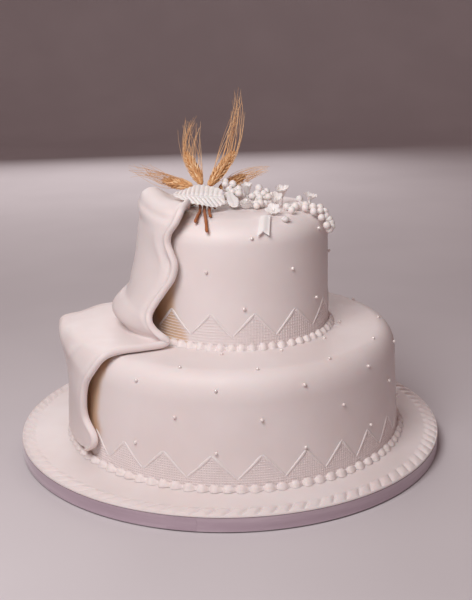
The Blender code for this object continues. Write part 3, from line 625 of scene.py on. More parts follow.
def zigzag_peaks(pattern):
    """Angles of the zigzag's peaks once round: uneven in front, where they are seen, and even behind."""
    front = pattern["front_peaks"]
    behind = pattern["points"] - len(front)
    pitch = (front[0] + 360 - front[-1]) / (behind + 1)
    return front + [front[-1] + pitch * (k + 1) for k in range(behind)]


def zigzag_height(pattern, degrees):
    """Height of the zigzag line over the tier's base."""
    peaks = zigzag_peaks(pattern)
    degrees = (degrees - peaks[0]) % 360 + peaks[0]
    for peak, after in zip(peaks, peaks[1:] + [peaks[0] + 360]):
        if degrees <= after:
            turn = (degrees - peak) / (after - peak)
            break
    return pattern["valley"] + (pattern["peak"] - pattern["valley"]) * abs(1 - 2 * turn)


def hem_shade(height):
    """Angle of the swag's front hem at a height, and how far ahead of it the painted shade reaches along the
    wall.
    """
    over = (height - LEDGE) / MM
    rows = SWAG_ROWS[2:17] if over > 0 else SWAG_ROWS[20:]
    over = min(max(over, rows[-1][1] + 0.01), rows[0][1])
    for row, below in zip(rows, rows[1:]):
        if over > below[1]:
            break
    share = (over - below[1]) / (row[1] - below[1])
    angle = below[2] + (row[2] - below[2]) * share
    reach = spline([(r,) for r in HEM_SHADE_REACH], (over - HEM_SHADE_LOWEST) / HEM_SHADE_STEP)[0]
    return angle, reach * MM


def make_tier(name, tier, span, material):
    """The tier's iced surface, with a warm painted shade on the wall under and just ahead of the swag's front
    hem.
    """
    columns = 240
    profile = []
    wall_top = tier["top"] - tier["shoulder_drop"]
    steps = 14
    for i in range(steps):
        z = tier["base"] + (wall_top - tier["base"]) * i / steps
        profile.append((wall_radius(tier, z), z, 0.0))
    profile += [shoulder_ring(tier, i / 22) for i in range(23)]
    flat = tier["top_radius"] - tier["shoulder_width"]
    profile += [(flat * (1 - i / 12), tier["top"], 90.0) for i in range(1, 12)]
    rows = [
        [icing_at(tier, 360 * j / columns, radius, height, slope) for j in range(columns)]
        for radius, height, slope in profile
    ]
    shape = Shape()
    shape.add(*skin(rows))
    thing = shape.piece(name, material, [name])
    # Painted shade: warm colour under and just ahead of the swag's front hem, weaker on the tier's top
    painted_shade = thing.data.attributes.new("PaintedShade", "FLOAT", "POINT")
    high = span[1]
    for i, (radius, height, slope) in enumerate(profile):
        hem, reach = hem_shade(height)
        for j in range(columns):
            turn = (360 * j / columns - high) % 360 + high - 360
            ahead = math.radians(turn - hem) * radius
            shade = smooth_step((reach - ahead) / HEM_SHADE_FADE)
            shade *= smooth_step((ahead + HEM_SHADE_DEPTH) / HEM_SHADE_FADE)
            painted_shade.data[i * columns + j].value = shade * (1 - 0.6 * smooth_step((slope - 50) / 40))
    return thing


def zigzag_slopes(pattern):
    """Each slope of the zigzag that the swag leaves open, as the angles of its peak and its valley."""
    peaks = zigzag_peaks(pattern)
    slopes = []
    for peak, after in zip(peaks, peaks[1:] + [peaks[0] + 360]):
        valley = (peak + after) / 2
        slopes += [(peak, valley), (after, valley)]
    return [(a, b) for a, b in slopes if not under_swag((a + b) / 2, pattern["gap"])]


def make_net(name, tier, pattern, material):
    """The net under the zigzag: upright and level lines of icing that stand a little off the wall."""
    shape = Shape()

    def ridge(angles_and_heights, across_is_height):
        points = []
        half_angle = math.degrees(NET_HALF_WIDTH / tier["base_radius"])
        for angle, height in angles_and_heights:
            for share, out in ((-1.0, -0.15 * MM), (-0.5, NET_PROUD), (0.5, NET_PROUD), (1.0, -0.15 * MM)):
                if across_is_height:
                    points.append(wall_at(tier, angle, height + share * NET_HALF_WIDTH, out))
                else:
                    points.append(wall_at(tier, angle + share * half_angle, height, out))
        faces = []
        for i in range(len(angles_and_heights) - 1):
            a, b = 4 * i, 4 * (i + 1)
            faces += [(a + k, a + k + 1, b + k + 1, b + k) for k in range(3)]
        faces += [(0, 1, 2, 3), (len(points) - 1, len(points) - 2, len(points) - 3, len(points) - 4)]
        shape.add(points, faces)

    around = round(2 * math.pi * tier["base_radius"] / pattern["net_pitch"])
    base = tier["base"]
    for i in range(around):
        angle = 360 * i / around
        if not under_swag(angle, pattern["net_uprights_gap"]):
            top = base + zigzag_height(pattern, angle)
            ridge([(angle, base + 1.5 * MM), (angle, (base + top) / 2), (angle, top)], False)
    level = 2.0 * MM
    while level < pattern["peak"] - MM:
        rise = max(0.0, (level - pattern["valley"]) / (pattern["peak"] - pattern["valley"]))
        for peak, valley in zigzag_slopes(pattern):
            reach = (valley - peak) * (1 - rise)
            steps = max(1, round(abs(reach) / 1.4))
            ridge([(peak + reach * s / steps, base + level) for s in range(steps + 1)], True)
        level += pattern["net_pitch"]
    return shape.piece(name, material)


def make_zigzag(name, tier, pattern, material, seed):
    """The piped zigzag: each slope is one flat stroke, fat at its peak and thinner towards its valley."""
    rng = random.Random(seed)
    shape = Shape()
    for peak, valley in zigzag_slopes(pattern):
        peak += rng.uniform(-0.2, 0.2)
        sag = rng.uniform(-0.2, 0.7) * MM
        fall = pattern["valley"] - pattern["peak"] + rng.uniform(-0.8, 1.4) * MM
        reach = (valley - peak) * rng.uniform(0.96, 1.01)
        steps = 12
        loops = []
        for i in range(steps + 1):
            s = i / steps
            end = min(1.0, 0.35 + 4.5 * s, 0.45 + 9 * (1 - s))
            half = (STROKE_FAT + (STROKE_THIN - STROKE_FAT) * min(1.0, 1.6 * s)) * end
            half *= 1 + 0.05 * math.sin(11 * s + peak)
            proud = STROKE_PROUD * (1.25 - 0.45 * s) * end
            angle = peak + reach * s
            height = tier["base"] + pattern["peak"] + fall * s - sag * math.sin(math.pi * s)
            run = math.radians(reach) * tier["base_radius"]
            length = math.hypot(run, fall)
            across = (-fall / length, run / length)
            loop = []
            for k in range(8):
                t = math.pi * k / 7
                side = half * math.cos(t)
                turn = math.degrees(side * across[0] / tier["base_radius"])
                raised = proud * math.sin(t) ** 0.7 - 0.1 * MM
                loop.append(wall_at(tier, angle + turn, height + side * across[1], raised))
            loops.append(loop)
        shape.add(*skin(loops), tone=rng.random())
    return shape.piece(name, material)


def make_pearls(name, tier, rows, span, ledge_rows, material, seed):
    """Sugar pearls pressed into the icing."""
    rng = random.Random(seed)
    shape = Shape()
    for first, height, count in rows:
        for i in range(count):
            angle = first + 360 * i / count + rng.uniform(-0.5, 0.5)
            z = tier["base"] + height + rng.uniform(-0.7, 0.7) * MM
            radius, slope = wall_radius(tier, z), 0.0
            if z > tier["top"] - tier["shoulder_drop"]:
                radius, _, slope = shoulder_ring(tier, shoulder_share(tier, z))
            if not under_swag(angle, (span[0] - 3, span[1] + 3)):
                place = icing_at(tier, angle, radius, z, slope, PEARL_RADIUS * 0.62)
                shape.add(*ball(place, PEARL_RADIUS * rng.uniform(0.94, 1.05)), tone=rng.random())
    for first, radius, count in ledge_rows:
        for i in range(count):
            angle = first + 360 * i / count + rng.uniform(-0.6, 0.6)
            if not under_swag(angle, LEDGE_SWAG_SPAN):
                place = icing_at(tier, angle, radius, icing_height(tier, radius), 90.0, PEARL_RADIUS * 0.62)
                shape.add(*ball(place, PEARL_RADIUS * rng.uniform(0.94, 1.05)), tone=rng.random())
    return shape.piece(name, material)


# Board

def make_board(drum_material, ribbon_material, paste_material_):
    """The drum, the satin ribbon round it, and the crimped paste over it."""
    origin = (0.0, 0.0)
    around = 256
    drum_radius = BOARD_RADIUS - RIBBON_THICKNESS - GAP
    profile = [
        (0.0005, 0.0), (drum_radius * 0.5, 0.0), (drum_radius - 0.8 * MM, 0.0),
        (drum_radius - 0.2 * MM, 0.25 * MM), (drum_radius, 0.9 * MM),
        (drum_radius, DRUM_HEIGHT - 0.8 * MM), (drum_radius - 0.8 * MM, DRUM_HEIGHT),
    ]
    shape = Shape()
    shape.add(*skin([[polar(origin, r, 360 * j / around, z) for j in range(around)] for r, z in profile]))
    shape.piece("drum_board", drum_material, ["board"])

    shape = Shape()
    loops, coordinates = [], []
    around = 360
    for j in range(around):
        angle = 360 * j / around
        ripple = 0.12 * MM * math.sin(math.radians(angle * 7))
        ripple += 0.08 * MM * math.sin(math.radians(angle * 17 + 40))
        loop = []
        for i in range(9):
            z = RIBBON_BOTTOM + (RIBBON_TOP - RIBBON_BOTTOM) * i / 8
            hem = 0.12 * MM if i in (0, 8) else 0.0
            bow = 0.1 * MM * math.sin(math.pi * i / 8)
            radius = BOARD_RADIUS - 0.15 * MM + hem + bow + ripple * math.sin(math.pi * i / 8)
            loop.append(polar(origin, radius, angle, z))
            coordinates.append((math.radians(angle) * BOARD_RADIUS, z))
        loop += [polar(origin, BOARD_RADIUS - RIBBON_THICKNESS, angle, z) for z in (RIBBON_TOP, RIBBON_BOTTOM)]
        coordinates += [(math.radians(angle) * BOARD_RADIUS, z) for z in (RIBBON_TOP, RIBBON_BOTTOM)]
        loops.append(loop)
    shape.add(*skin(loops, around=True))
    shape.piece("satin_ribbon", ribbon_material, ["board_ribbon"], coordinates=coordinates)

    shape = Shape()
    loops, coordinates = [], []
    low, high = RIBBON_JOIN
    for j in range(13):
        angle = low + (high - low) * j / 12
        lift = 0.15 * MM
        foot = RIBBON_BOTTOM + 0.1 * MM
        head = RIBBON_TOP - 0.1 * MM
        corners = [(foot, 0.0), (foot, lift), (head, lift), (head, 0.0)]
        loops.append([polar(origin, BOARD_RADIUS + out, angle, z) for z, out in corners])
        coordinates += [(math.radians(angle) * BOARD_RADIUS + 0.4, z) for z, _ in corners]
    shape.add(*skin(loops))
    shape.piece("ribbon_join", ribbon_material, coordinates=coordinates)

    make_paste(paste_material_)


def crimp_height(radius, degrees):
    """How far the pinched edge stands over the paste: a rounded lip with a narrow slot at each side."""
    across = smooth_step((radius - CRIMP_INNER) / (5 * MM))
    across *= smooth_step((CRIMP_OUTER + 1.6 * MM - radius) / (3 * MM))
    share = (radius - CRIMP_INNER) / (CRIMP_OUTER - CRIMP_INNER)
    turn = ((degrees - CRIMP_SLANT * (2 * share - 1)) * CRIMP_COUNT / 360) % 1
    lip = 1 - abs(2 * turn - 1) ** 2.2
    slot = hill(abs(2 * turn - 1), 1.0, 0.20)
    pinch = 0.35 * hill(share, 0.5, 0.22) * lip
    return across * (CRIMP_HEIGHT * (0.75 * lip + pinch) - 1.1 * MM * slot)


def make_paste(material):
    """The paste on the board with its crimped edge."""
    origin = (0.0, 0.0)
    around = CRIMP_COUNT * 12
    inner = CRIMP_INNER - 2 * MM
    band = CRIMP_OUTER + 1.2 * MM - CRIMP_INNER + 2 * MM
    radii = [inner + band * i / 18 for i in range(19)]
    rows = [[polar(origin, PASTE_RADIUS - 1.5 * MM, 360 * j / around, RIBBON_TOP + GAP) for j in range(around)]]
    edge = [
        (PASTE_RADIUS - 0.3 * MM, RIBBON_TOP + 0.35 * MM), (PASTE_RADIUS + 0.1 * MM, RIBBON_TOP + 0.9 * MM),
        (PASTE_RADIUS, PASTE_TOP - 1.1 * MM), (PASTE_RADIUS - 0.5 * MM, PASTE_TOP - 0.5 * MM),
    ]
    for radius, z in edge:
        rows.append([
            polar(origin, radius + 0.25 * MM * noise.noise(Vector((j / 30, 0, 5))), 360 * j / around, z)
            for j in range(around)
        ])
    for radius in reversed(radii):
        row = []
        for j in range(around):
            angle = 360 * j / around
            spot = polar(origin, radius, angle, 0)
            uneven = 0.35 * MM * noise.noise(spot / 0.03) + 0.12 * MM * noise.noise(spot / 0.009)
            drop = 0.5 * MM * smooth_step((radius - CRIMP_OUTER + 2 * MM) / (3 * MM))
            vary = 0.85 + 0.3 * noise.noise(spot / 0.02 + Vector((9, 0, 0)))
            z = PASTE_TOP - 0.25 * MM + uneven - drop + vary * crimp_height(radius, angle)
            row.append(polar(origin, radius, angle, z))
        rows.append(row)
    for radius in (178 * MM, 172 * MM, 166 * MM, 158 * MM):
        row = []
        for j in range(around):
            angle = 360 * j / around
            uneven = 0.35 * MM * noise.noise(polar(origin, radius, angle, 0) / 0.03)
            row.append(polar(origin, radius, angle, PASTE_TOP - 0.25 * MM + uneven))
        rows.append(row)
    shape = Shape()
    shape.add(*skin(rows))
    thing = shape.piece("board_icing", material, ["board_paste"])
    # No painted shade on the board's paste: the attribute stays at zero
    thing.data.attributes.new("PaintedShade", "FLOAT", "POINT")
    return thing


# Borders

def make_border(name, node, tier, shells, material, seed):
    """A ring of piped shells, each a plump pointed head that is drawn out to a thin tail under the next."""
    rng = random.Random(seed)
    inner = tier["base_radius"] - 0.4 * MM
    floor = tier["base"] - 0.2 * MM
    shape = Shape()
    stations = (0.0, 0.03, 0.08, 0.15, 0.24, 0.34, 0.46, 0.58, 0.70, 0.82, 0.94, 1.06, 1.18, 1.26)
    for i in range(shells):
        grow = rng.uniform(0.93, 1.04)
        shift = rng.uniform(-0.05, 0.05)
        twist = rng.uniform(0, 6.28)
        lean = rng.uniform(-0.3, 0.3)
        loops = []
        for s in stations:
            head = math.sin(math.pi / 2 * min(1.0, 0.2 + 0.8 * s / 0.30)) if s < 0.30 else 1.0
            tail = 1 - 0.58 * smooth_step((s - 0.50) / 0.62)
            size = head * tail * grow
            angle = 360 * (i + s + shift) / shells
            loop = []
            for k in range(14):
                t = -0.12 * math.pi + 1.24 * math.pi * k / 13
                ridge = 1 + 0.055 * math.cos(6 * t + twist + 1.6 * s)
                out = BORDER_REACH * size * (0.48 + 0.50 * math.cos(t) * ridge)
                up = BORDER_HEIGHT * size * max(math.sin(t), 0.0) ** 1.15 * ridge
                out -= 0.16 * BORDER_REACH * size * max(math.sin(t), 0.0) * (1 + lean)
                loop.append(polar(tier["centre"], inner + max(out, 0.0), angle, floor + up))
            loops.append(loop)
        shape.add(*skin(loops), tone=rng.random())
    return shape.piece(name, material, [node], sharp=60)


# Swag

def swag_point(u, across):
    """A point in the middle of the swag's thickness, u rows down and across from the front hem to the back."""
    row = spline(SWAG_ROWS, u)
    hem_radius, hem_height, hem_angle, mid_radius, mid_height, back_radius, back_height, back_angle = row
    middle = 0.5 - 0.5 * math.cos(2 * math.pi * across)
    if across > 0.5:
        hem_radius, hem_height = back_radius, back_height
    radius = (hem_radius + (mid_radius - hem_radius) * middle) * MM
    height = LEDGE + (hem_height + (mid_height - hem_height) * middle) * MM
    angle = hem_angle + (back_angle - hem_angle) * across
    share = smooth_step((height - LEDGE) / (30 * MM))
    centre = [a + (b - a) * share for a, b in zip(LOWER["centre"], UPPER["centre"])]
    return polar(centre, radius, angle, height)


def swag_normal(u, across):
    """The swag's outward direction."""
    step = 0.02
    along = swag_point(min(u + step, len(SWAG_ROWS) - 1), across) - swag_point(max(u - step, 0), across)
    left = swag_point(u, min(across + step, 1)) - swag_point(u, max(across - step, 0))
    return left.cross(along).normalized()


def swag_fold(u, across, hem_distance):
    """Soft pleats and creases of the swag, as a lift off its middle surface."""
    d = hem_distance / MM
    lift = -0.7 * hill(d, 10.2, 2.6)
    lift -= 2.1 * hill(d, 12.0 - 1.2 * (u - 7.0), 2.4) * hill(u, 7.1, 1.3)
    lift += 0.9 * hill(d, 17.5, 4.0) * hill(u, 6.4, 2.2)
    crease = smooth_step((across - 0.02) / 0.1) * smooth_step((0.75 - across) / 0.3)
    lift -= 1.4 * hill(u, 2.75 + 0.5 * across, 0.28) * crease
    lift -= 0.7 * hill(d, 9.0, 2.4) * hill(u, 14.0, 2.6)
    lift += 0.6 * math.sin(5.2 * math.pi * across + 0.25 * u) * smooth_step((d - 12) / 14) * hill(u, 8.0, 6.0)
    lift -= 1.1 * hill(across, 0.30 + 0.035 * (u - 20.0), 0.035) * hill(u, 20.5, 1.8)
    return lift * MM


def make_swag(material):
    """The thick sheet that falls over the left of both tiers, with a rolled hem, pleats and rounded ends."""
    steps = (len(SWAG_ROWS) - 1) * 9
    hem_stops = [0.05, 0.3, 0.8, 1.5, 2.4, 3.4, 4.2, 5.0, 5.8, 6.6, 7.4, 8.6, 10.2, 12.0]
    loops = []
    for i in range(steps + 1):
        u = (len(SWAG_ROWS) - 1) * i / steps
        line = [swag_point(u, k / 16) for k in range(17)]
        width = sum((b - a).length for a, b in zip(line, line[1:]))
        end = min(u * 7.5, (len(SWAG_ROWS) - 1 - u) * 12.5)
        round_end = math.sqrt(max(0.0, 1 - (1 - min(1.0, (end + 0.15) / 2.2)) ** 2))
        stops = [d * MM for d in hem_stops]
        first, last = stops[-1], width - stops[-1]
        middle = [first + (last - first) * k / 44 for k in range(1, 44)]
        distances = stops + middle + [width - d for d in reversed(stops)]
        outer, inner = [], []
        for distance in distances:
            across = distance / width
            front, back = distance, width - distance
            near, roll = (front, SWAG_HEM_RADIUS) if front < back else (back, SWAG_BACK_HEM_RADIUS)
            rolled = smooth_step((2.15 * roll - near) / (1.15 * roll))
            swell = SWAG_HALF_THICKNESS + (roll - SWAG_HALF_THICKNESS) * rolled
            tip = math.sqrt(max(0.0, 1 - (1 - min(1.0, near / roll)) ** 2))
            half = swell * tip * round_end
            normal = swag_normal(u, across)
            lift = swag_fold(u, across, front) + HEM_PROUD * rolled * round_end
            point = swag_point(u, across) + normal * lift
            outer.append(point + normal * half)
            inner.append(point - normal * half)
        loops.append(outer + inner[::-1])
    points, faces = skin(loops, ends="open")
    count = len(loops[0])
    last = len(points) - count
    for k in range(count // 2 - 1):
        quad = (k, k + 1, count - 2 - k, count - 1 - k)
        faces.append(quad)
        faces.append(tuple(last + q for q in reversed(quad)))
    shape = Shape()
    shape.add(points, faces)
    thing = shape.piece("draped_swag", material, ["swag"], sharp=75)
    # Painted shade: warm colour on the swag's underside, away from its rims
    painted_shade = thing.data.attributes.new("PaintedShade", "FLOAT", "POINT")
    half = count // 2
    for i in range(len(loops)):
        for k in range(count):
            side = k - half
            if side >= 0:
                edge = min(side, half - 1 - side)
                painted_shade.data[i * count + k].value = 0.85 * smooth_step((edge - 6) / 5)
    return thing


# Leaves, fruit and flowers

def sheet(rows, thickness):
    """Points and faces of a thin solid over a grid of points, thinned at its rim."""
    across = len(rows[0])
    upper, lower = [], []
    for i, row in enumerate(rows):
        for j, point in enumerate(row):
            along = rows[min(i + 1, len(rows) - 1)][j] - rows[max(i - 1, 0)][j]
            side = row[min(j + 1, across - 1)] - row[max(j - 1, 0)]
            normal = along.cross(side).normalized()
            if normal.z < 0:
                normal.negate()
            rim = min(i, j, len(rows) - 1 - i, across - 1 - j)
            half = thickness / 2 * (0.35, 0.8, 1.0)[min(rim, 2)]
            upper.append(point + normal * half)
            lower.append(point - normal * half)
    count = len(upper)
    faces = []
    for i in range(len(rows) - 1):
        for j in range(across - 1):
            a, b = i * across + j, i * across + j + 1
            c, d = b + across, a + across
            faces += [(a, b, c, d), (a + count, d + count, c + count, b + count)]
    rim = list(range(across))
    rim += [i * across + across - 1 for i in range(1, len(rows))]
    rim += [(len(rows) - 1) * across + j for j in range(across - 2, -1, -1)]
    rim += [i * across for i in range(len(rows) - 2, 0, -1)]
    for k, here in enumerate(rim):
        there = rim[(k + 1) % len(rim)]
        faces.append((here, here + count, there + count, there))
    return upper + lower, faces


def leaf_rows(start, end, half_width, left_rise, right_drop, veins, teeth, rows=64, columns=44, depth=0.75):
    """Grid of a leaf with a grooved midrib, slanting side veins and a toothed edge."""
    start, end = Vector(start), Vector(end)
    axis = end - start
    side = Vector((-axis.y, axis.x, 0)).normalized()
    grid = []
    for i in range(rows + 1):
        s = i / rows
        body = math.sin(math.pi * (0.03 + 0.85 * s)) ** 0.75
        rise = left_rise[0] + (left_rise[1] - left_rise[0]) * s
        drop = right_drop[0] + (right_drop[1] - right_drop[0]) * s
        row = []
        for j in range(columns + 1):
            v = 2 * j / columns - 1
            far = abs(v)
            phase = s * teeth - far * 0.35
            tooth = 1 - 0.055 * (phase % 1) * smooth_step((far - 0.6) / 0.4)
            out = v * half_width * body * tooth
            vein = math.cos(2 * math.pi * (s * veins - far * 1.05))
            relief = depth * (0.5 + 0.5 * vein) ** 0.7 * smooth_step(far / 0.22) * (1.1 - 0.5 * far)
            rib = 0.75 * depth * hill(v, 0, 0.05) - 0.55 * depth * hill(far, 0.13, 0.05)
            wave = 0.5 * math.sin(2 * math.pi * s * 2.1 + 1) * far * far
            lift = v * body * (rise if v > 0 else drop) + relief - depth * 0.5 + rib + wave
            row.append(top_point(start + axis * s + side * out + Vector((0, 0, lift))))
        grid.append(row)
    return grid


def make_leaves(material):
    """A large veined leaf over the wheat's binding and a small one beside it."""
    shape = Shape()
    rows = leaf_rows((-55.5, -25, 14.6), (-9.6, -18, 10.6), 21.5, (3.5, 10.5), (1.5, 7.2), 11, 13, depth=1.25)
    shape.add(*sheet(rows, 1.3 * MM))
    shape.piece("veined_leaf_large", material, ["leaf_large"], sharp=70)
    shape = Shape()
    rows = leaf_rows((-4.5, -5, 12.5), (0.0, -27, 3.4), 5.4, (0.6, 0.6), (-1.0, 0.4), 8, 9, 36, 24, 0.4)
    shape.add(*sheet(rows, 1.1 * MM))
    shape.piece("veined_leaf_small", material, ["leaf_small"], sharp=70)


def make_grapes(name, node, places, lumps, material, seed):
    """A heap of hand-rolled sugar balls."""
    rng = random.Random(seed)
    shape = Shape()
    centres = [top_point(place) for place in places]
    for x, y, z, size in lumps:
        for k in range(12):
            t = GOLDEN_ANGLE * k
            rise = -0.3 + 1.2 * k / 12
            flat = math.sqrt(max(0.0, 1 - rise * rise))
            reach = max(size - 2.6, 0.8)
            side = reach * flat
            spot = top_point((x + side * math.cos(t), y + side * math.sin(t), z + reach * rise))
            if min((spot - c).length for c in centres) > 3.4 * MM:
                centres.append(spot)
    for centre in centres:
        radius = GRAPE_RADIUS * rng.uniform(0.94, 1.05)
        turn = Matrix.Rotation(rng.uniform(0, 3), 3, Vector((rng.random(), rng.random(), 0.3)).normalized())
        squash = Matrix.Diagonal((1.0, rng.uniform(0.93, 1.0), rng.uniform(0.95, 1.04)))
        points, faces = ball(Vector((0, 0, 0)), radius, 20, 13, turn @ squash)
        points = [centre + p * (1 + 0.03 * noise.noise(p / (4 * MM) + centre * 90)) for p in points]
        shape.add(points, faces, tone=rng.random())
    return shape.piece(name, material, [node], sharp=80)


def petal_cup(foot, axis_lean, profile, petals, seed, frill):
    """Points and faces of a flower turned from a profile, whose rim parts into frilled petals.

    Each profile entry is radius and height in millimetres, how strongly the petals part, and how far
    their tips are raised.
    """
    rng = random.Random(seed)
    segments = petals * 12
    offsets = [rng.uniform(-0.12, 0.12) for _ in range(petals)]
    loops = []
    for radius, height, lobed, raised in profile:
        loop = []
        for k in range(segments):
            t = 2 * math.pi * k / segments
            petal = int(k / 12)
            share = (k % 12) / 12
            lobe = math.sin(math.pi * share) ** 0.6
            size = radius * (1 - lobed * 0.30 * (1 - lobe) + lobed * offsets[petal])
            lift = height + raised * (lobe - 0.4) + frill * lobed * math.sin(5 * math.pi * share + petal)
            local = Vector((size * math.cos(t), size * math.sin(t), lift)) * MM
            loop.append(foot + axis_lean @ local)
        loops.append(loop)
    return skin(loops)


def make_blossoms(material):
    """Small trumpet flowers of five thin frilled petals."""
    for number, (x, y, rim_lift, rim_radius, lean_front, lean_side) in enumerate(BLOSSOMS, 1):
        foot = icing_point((x, y), 2 * GAP)
        h = rim_lift
        r = rim_radius
        base = h * 0.5
        tube = [(1.1, 0.0, 0, 0), (1.2, h * 0.2, 0, 0), (1.6, h * 0.42, 0, 0), (1.6, h * 0.52, 0, 0)]
        lean = Matrix.Rotation(math.radians(lean_front), 3, "X")
        lean = lean @ Matrix.Rotation(math.radians(lean_side), 3, "Y")
        shape = Shape()
        shape.add(*petal_cup(foot, Matrix.Identity(3), tube, 5, number, 0.0))
        cup = [
            (1.4, h * 0.40 - base, 0, 0), (2.4, h * 0.56 - base, 0.05, 0),
            (r * 0.58, h * 0.74 - base, 0.15, 0.1),
            (r * 0.84, h * 0.90 - base, 0.55, 0.5), (r * 1.08, h * 1.02 - base, 1.0, 1.1),
            (r * 1.06, h * 1.04 - base, 1.0, 1.15), (r * 0.80, h * 0.93 - base, 0.55, 0.5),
            (r * 0.52, h * 0.78 - base, 0.15, 0.1), (1.9, h * 0.62 - base, 0.0, 0),
            (0.6, h * 0.56 - base, 0, 0),
        ]
        middle = foot + Vector((0, 0, base * MM))
        shape.add(*petal_cup(middle, lean, cup, 5, number + 20, 0.35), tone=0.6)
        for k in range(3):
            t = 2.1 * k + number
            tip = Vector((1.3 * math.cos(t), 1.3 * math.sin(t), h * 0.86 - base)) * MM
            root = Vector((0.4 * math.cos(t), 0.4 * math.sin(t), h * 0.56 - base)) * MM
            shape.add(*rope([middle + lean @ root, middle + lean @ root.lerp(tip, 0.5), middle + lean @ tip],
                            [0.3 * MM, 0.28 * MM, 0.5 * MM], 6), tone=0.2)
        shape.piece(f"trumpet_flower_{number}", material, [f"blossom_{number}"], sharp=70)


def make_rose(material):
    """A low rose: rings of thin overlapping petals round a closed heart."""
    foot = icing_point(ROSE_PLACE, 2 * GAP)
    shape = Shape()
    rng = random.Random(5)
    radius, height = ROSE_RADIUS / MM, ROSE_HEIGHT / MM
    rings = [(5, 0.98, 0.55, 0.55), (4, 0.70, 0.80, 0.35), (3, 0.42, 0.98, 0.15)]
    for ring, (count, size, top, flare) in enumerate(rings):
        for k in range(count):
            middle = 2 * math.pi * (k + 0.4 * ring) / count + rng.uniform(-0.1, 0.1)
            rows = []
            for i in range(13):
                v = i / 12
                row = []
                for j in range(15):
                    w = 2 * j / 14 - 1
                    t = middle + w * 1.15 * math.pi / count
                    edge = 1 - 0.30 * abs(w) ** 3
                    rise = height * top * v * edge
                    out = radius * size * (0.35 + 0.65 * v ** 0.7) + flare * 1.6 * v ** 4
                    out -= 0.35 * ring * (1 - v)
                    out += 0.25 * math.sin(4 * w + ring) * v * v + 0.22 * w
                    row.append(foot + Vector((out * math.cos(t), out * math.sin(t), rise)) * MM)
                rows.append(row)
            shape.add(*sheet(rows, 0.55 * MM), tone=rng.random())
    shape.add(*ball(foot + Vector((0, 0, height * 0.45 * MM)), radius * 0.4 * MM, 16, 10,
                    Matrix.Diagonal((1.0, 1.0, 1.25))))
    shape.piece("sugar_rose", material, ["rose"], sharp=70)


def bud_radius(share):
    """The bud's radius at a share of its length."""
    return (0.7 + 1.9 * math.sin(math.pi * min(1.0, share * 1.15)) ** 0.8) * MM


def make_bud(material):
    """A closed bud on the front shoulder, with a wrapped petal."""
    start, end = icing_point((40.5, -65), 2.9 * MM), icing_point((48, -62.5), 2.9 * MM)
    shape = Shape()
    count = 12
    points = [start.lerp(end, i / count) for i in range(count + 1)]
    radii = [bud_radius(i / count) for i in range(count + 1)]
    shape.add(*rope(points, radii, 14))
    wrap, wrap_radii = [], []
    along = (end - start).normalized()
    side = along.cross(Vector((0, 0, 1))).normalized()
    up = side.cross(along)
    for i in range(15):
        s = i / 14
        t = 0.4 + 3.6 * s
        spot = start.lerp(end, 0.15 + 0.7 * s)
        r = bud_radius(0.15 + 0.7 * s)
        wrap.append(spot + (side * math.cos(t) + up * math.sin(t)) * r * 0.92)
        wrap_radii.append(0.42 * MM)
    shape.add(*rope(wrap, wrap_radii, 6))
    shape.piece("flower_bud", material, ["bud"], sharp=70)


def make_ribbon_tail(material):
    """A strip of paste with a lengthwise fold and a notched end that hangs over the front shoulder."""
    rows = []
    steps = 26
    for i in range(steps + 1):
        share = 0.92 + (0.24 - 0.92) * i / steps
        row = []
        for j in range(21):
            v = j / 10 - 1
            notch = 0.10 * (1 - abs(v)) * smooth_step((i / steps - 0.72) / 0.28)
            radius, height, slope = shoulder_ring(UPPER, min(1.0, share + notch))
            x = (26.6 - 2.8 * i / steps + v * 4.8 * (1 + 0.1 * i / steps)) * MM
            fold = 0.5 * math.cos(4.0 * v + 0.5) * (0.4 + 0.6 * i / steps)
            curl = 1.2 * smooth_step((i / steps - 0.75) / 0.25) * abs(v)
            lift = (1.9 + fold + 1.2 * i / steps + curl) * MM
            out = radius + math.cos(math.radians(slope)) * lift
            y = -math.sqrt(out ** 2 - x * x)
            row.append(Vector((UPPER["centre"][0] + x, UPPER["centre"][1] + y,
                               height + math.sin(math.radians(slope)) * lift)))
        rows.append(row)
    shape = Shape()
    shape.add(*sheet(rows, 1.0 * MM))
    shape.piece("paste_ribbon_tail", material, ["ribbon_tail"], sharp=70)


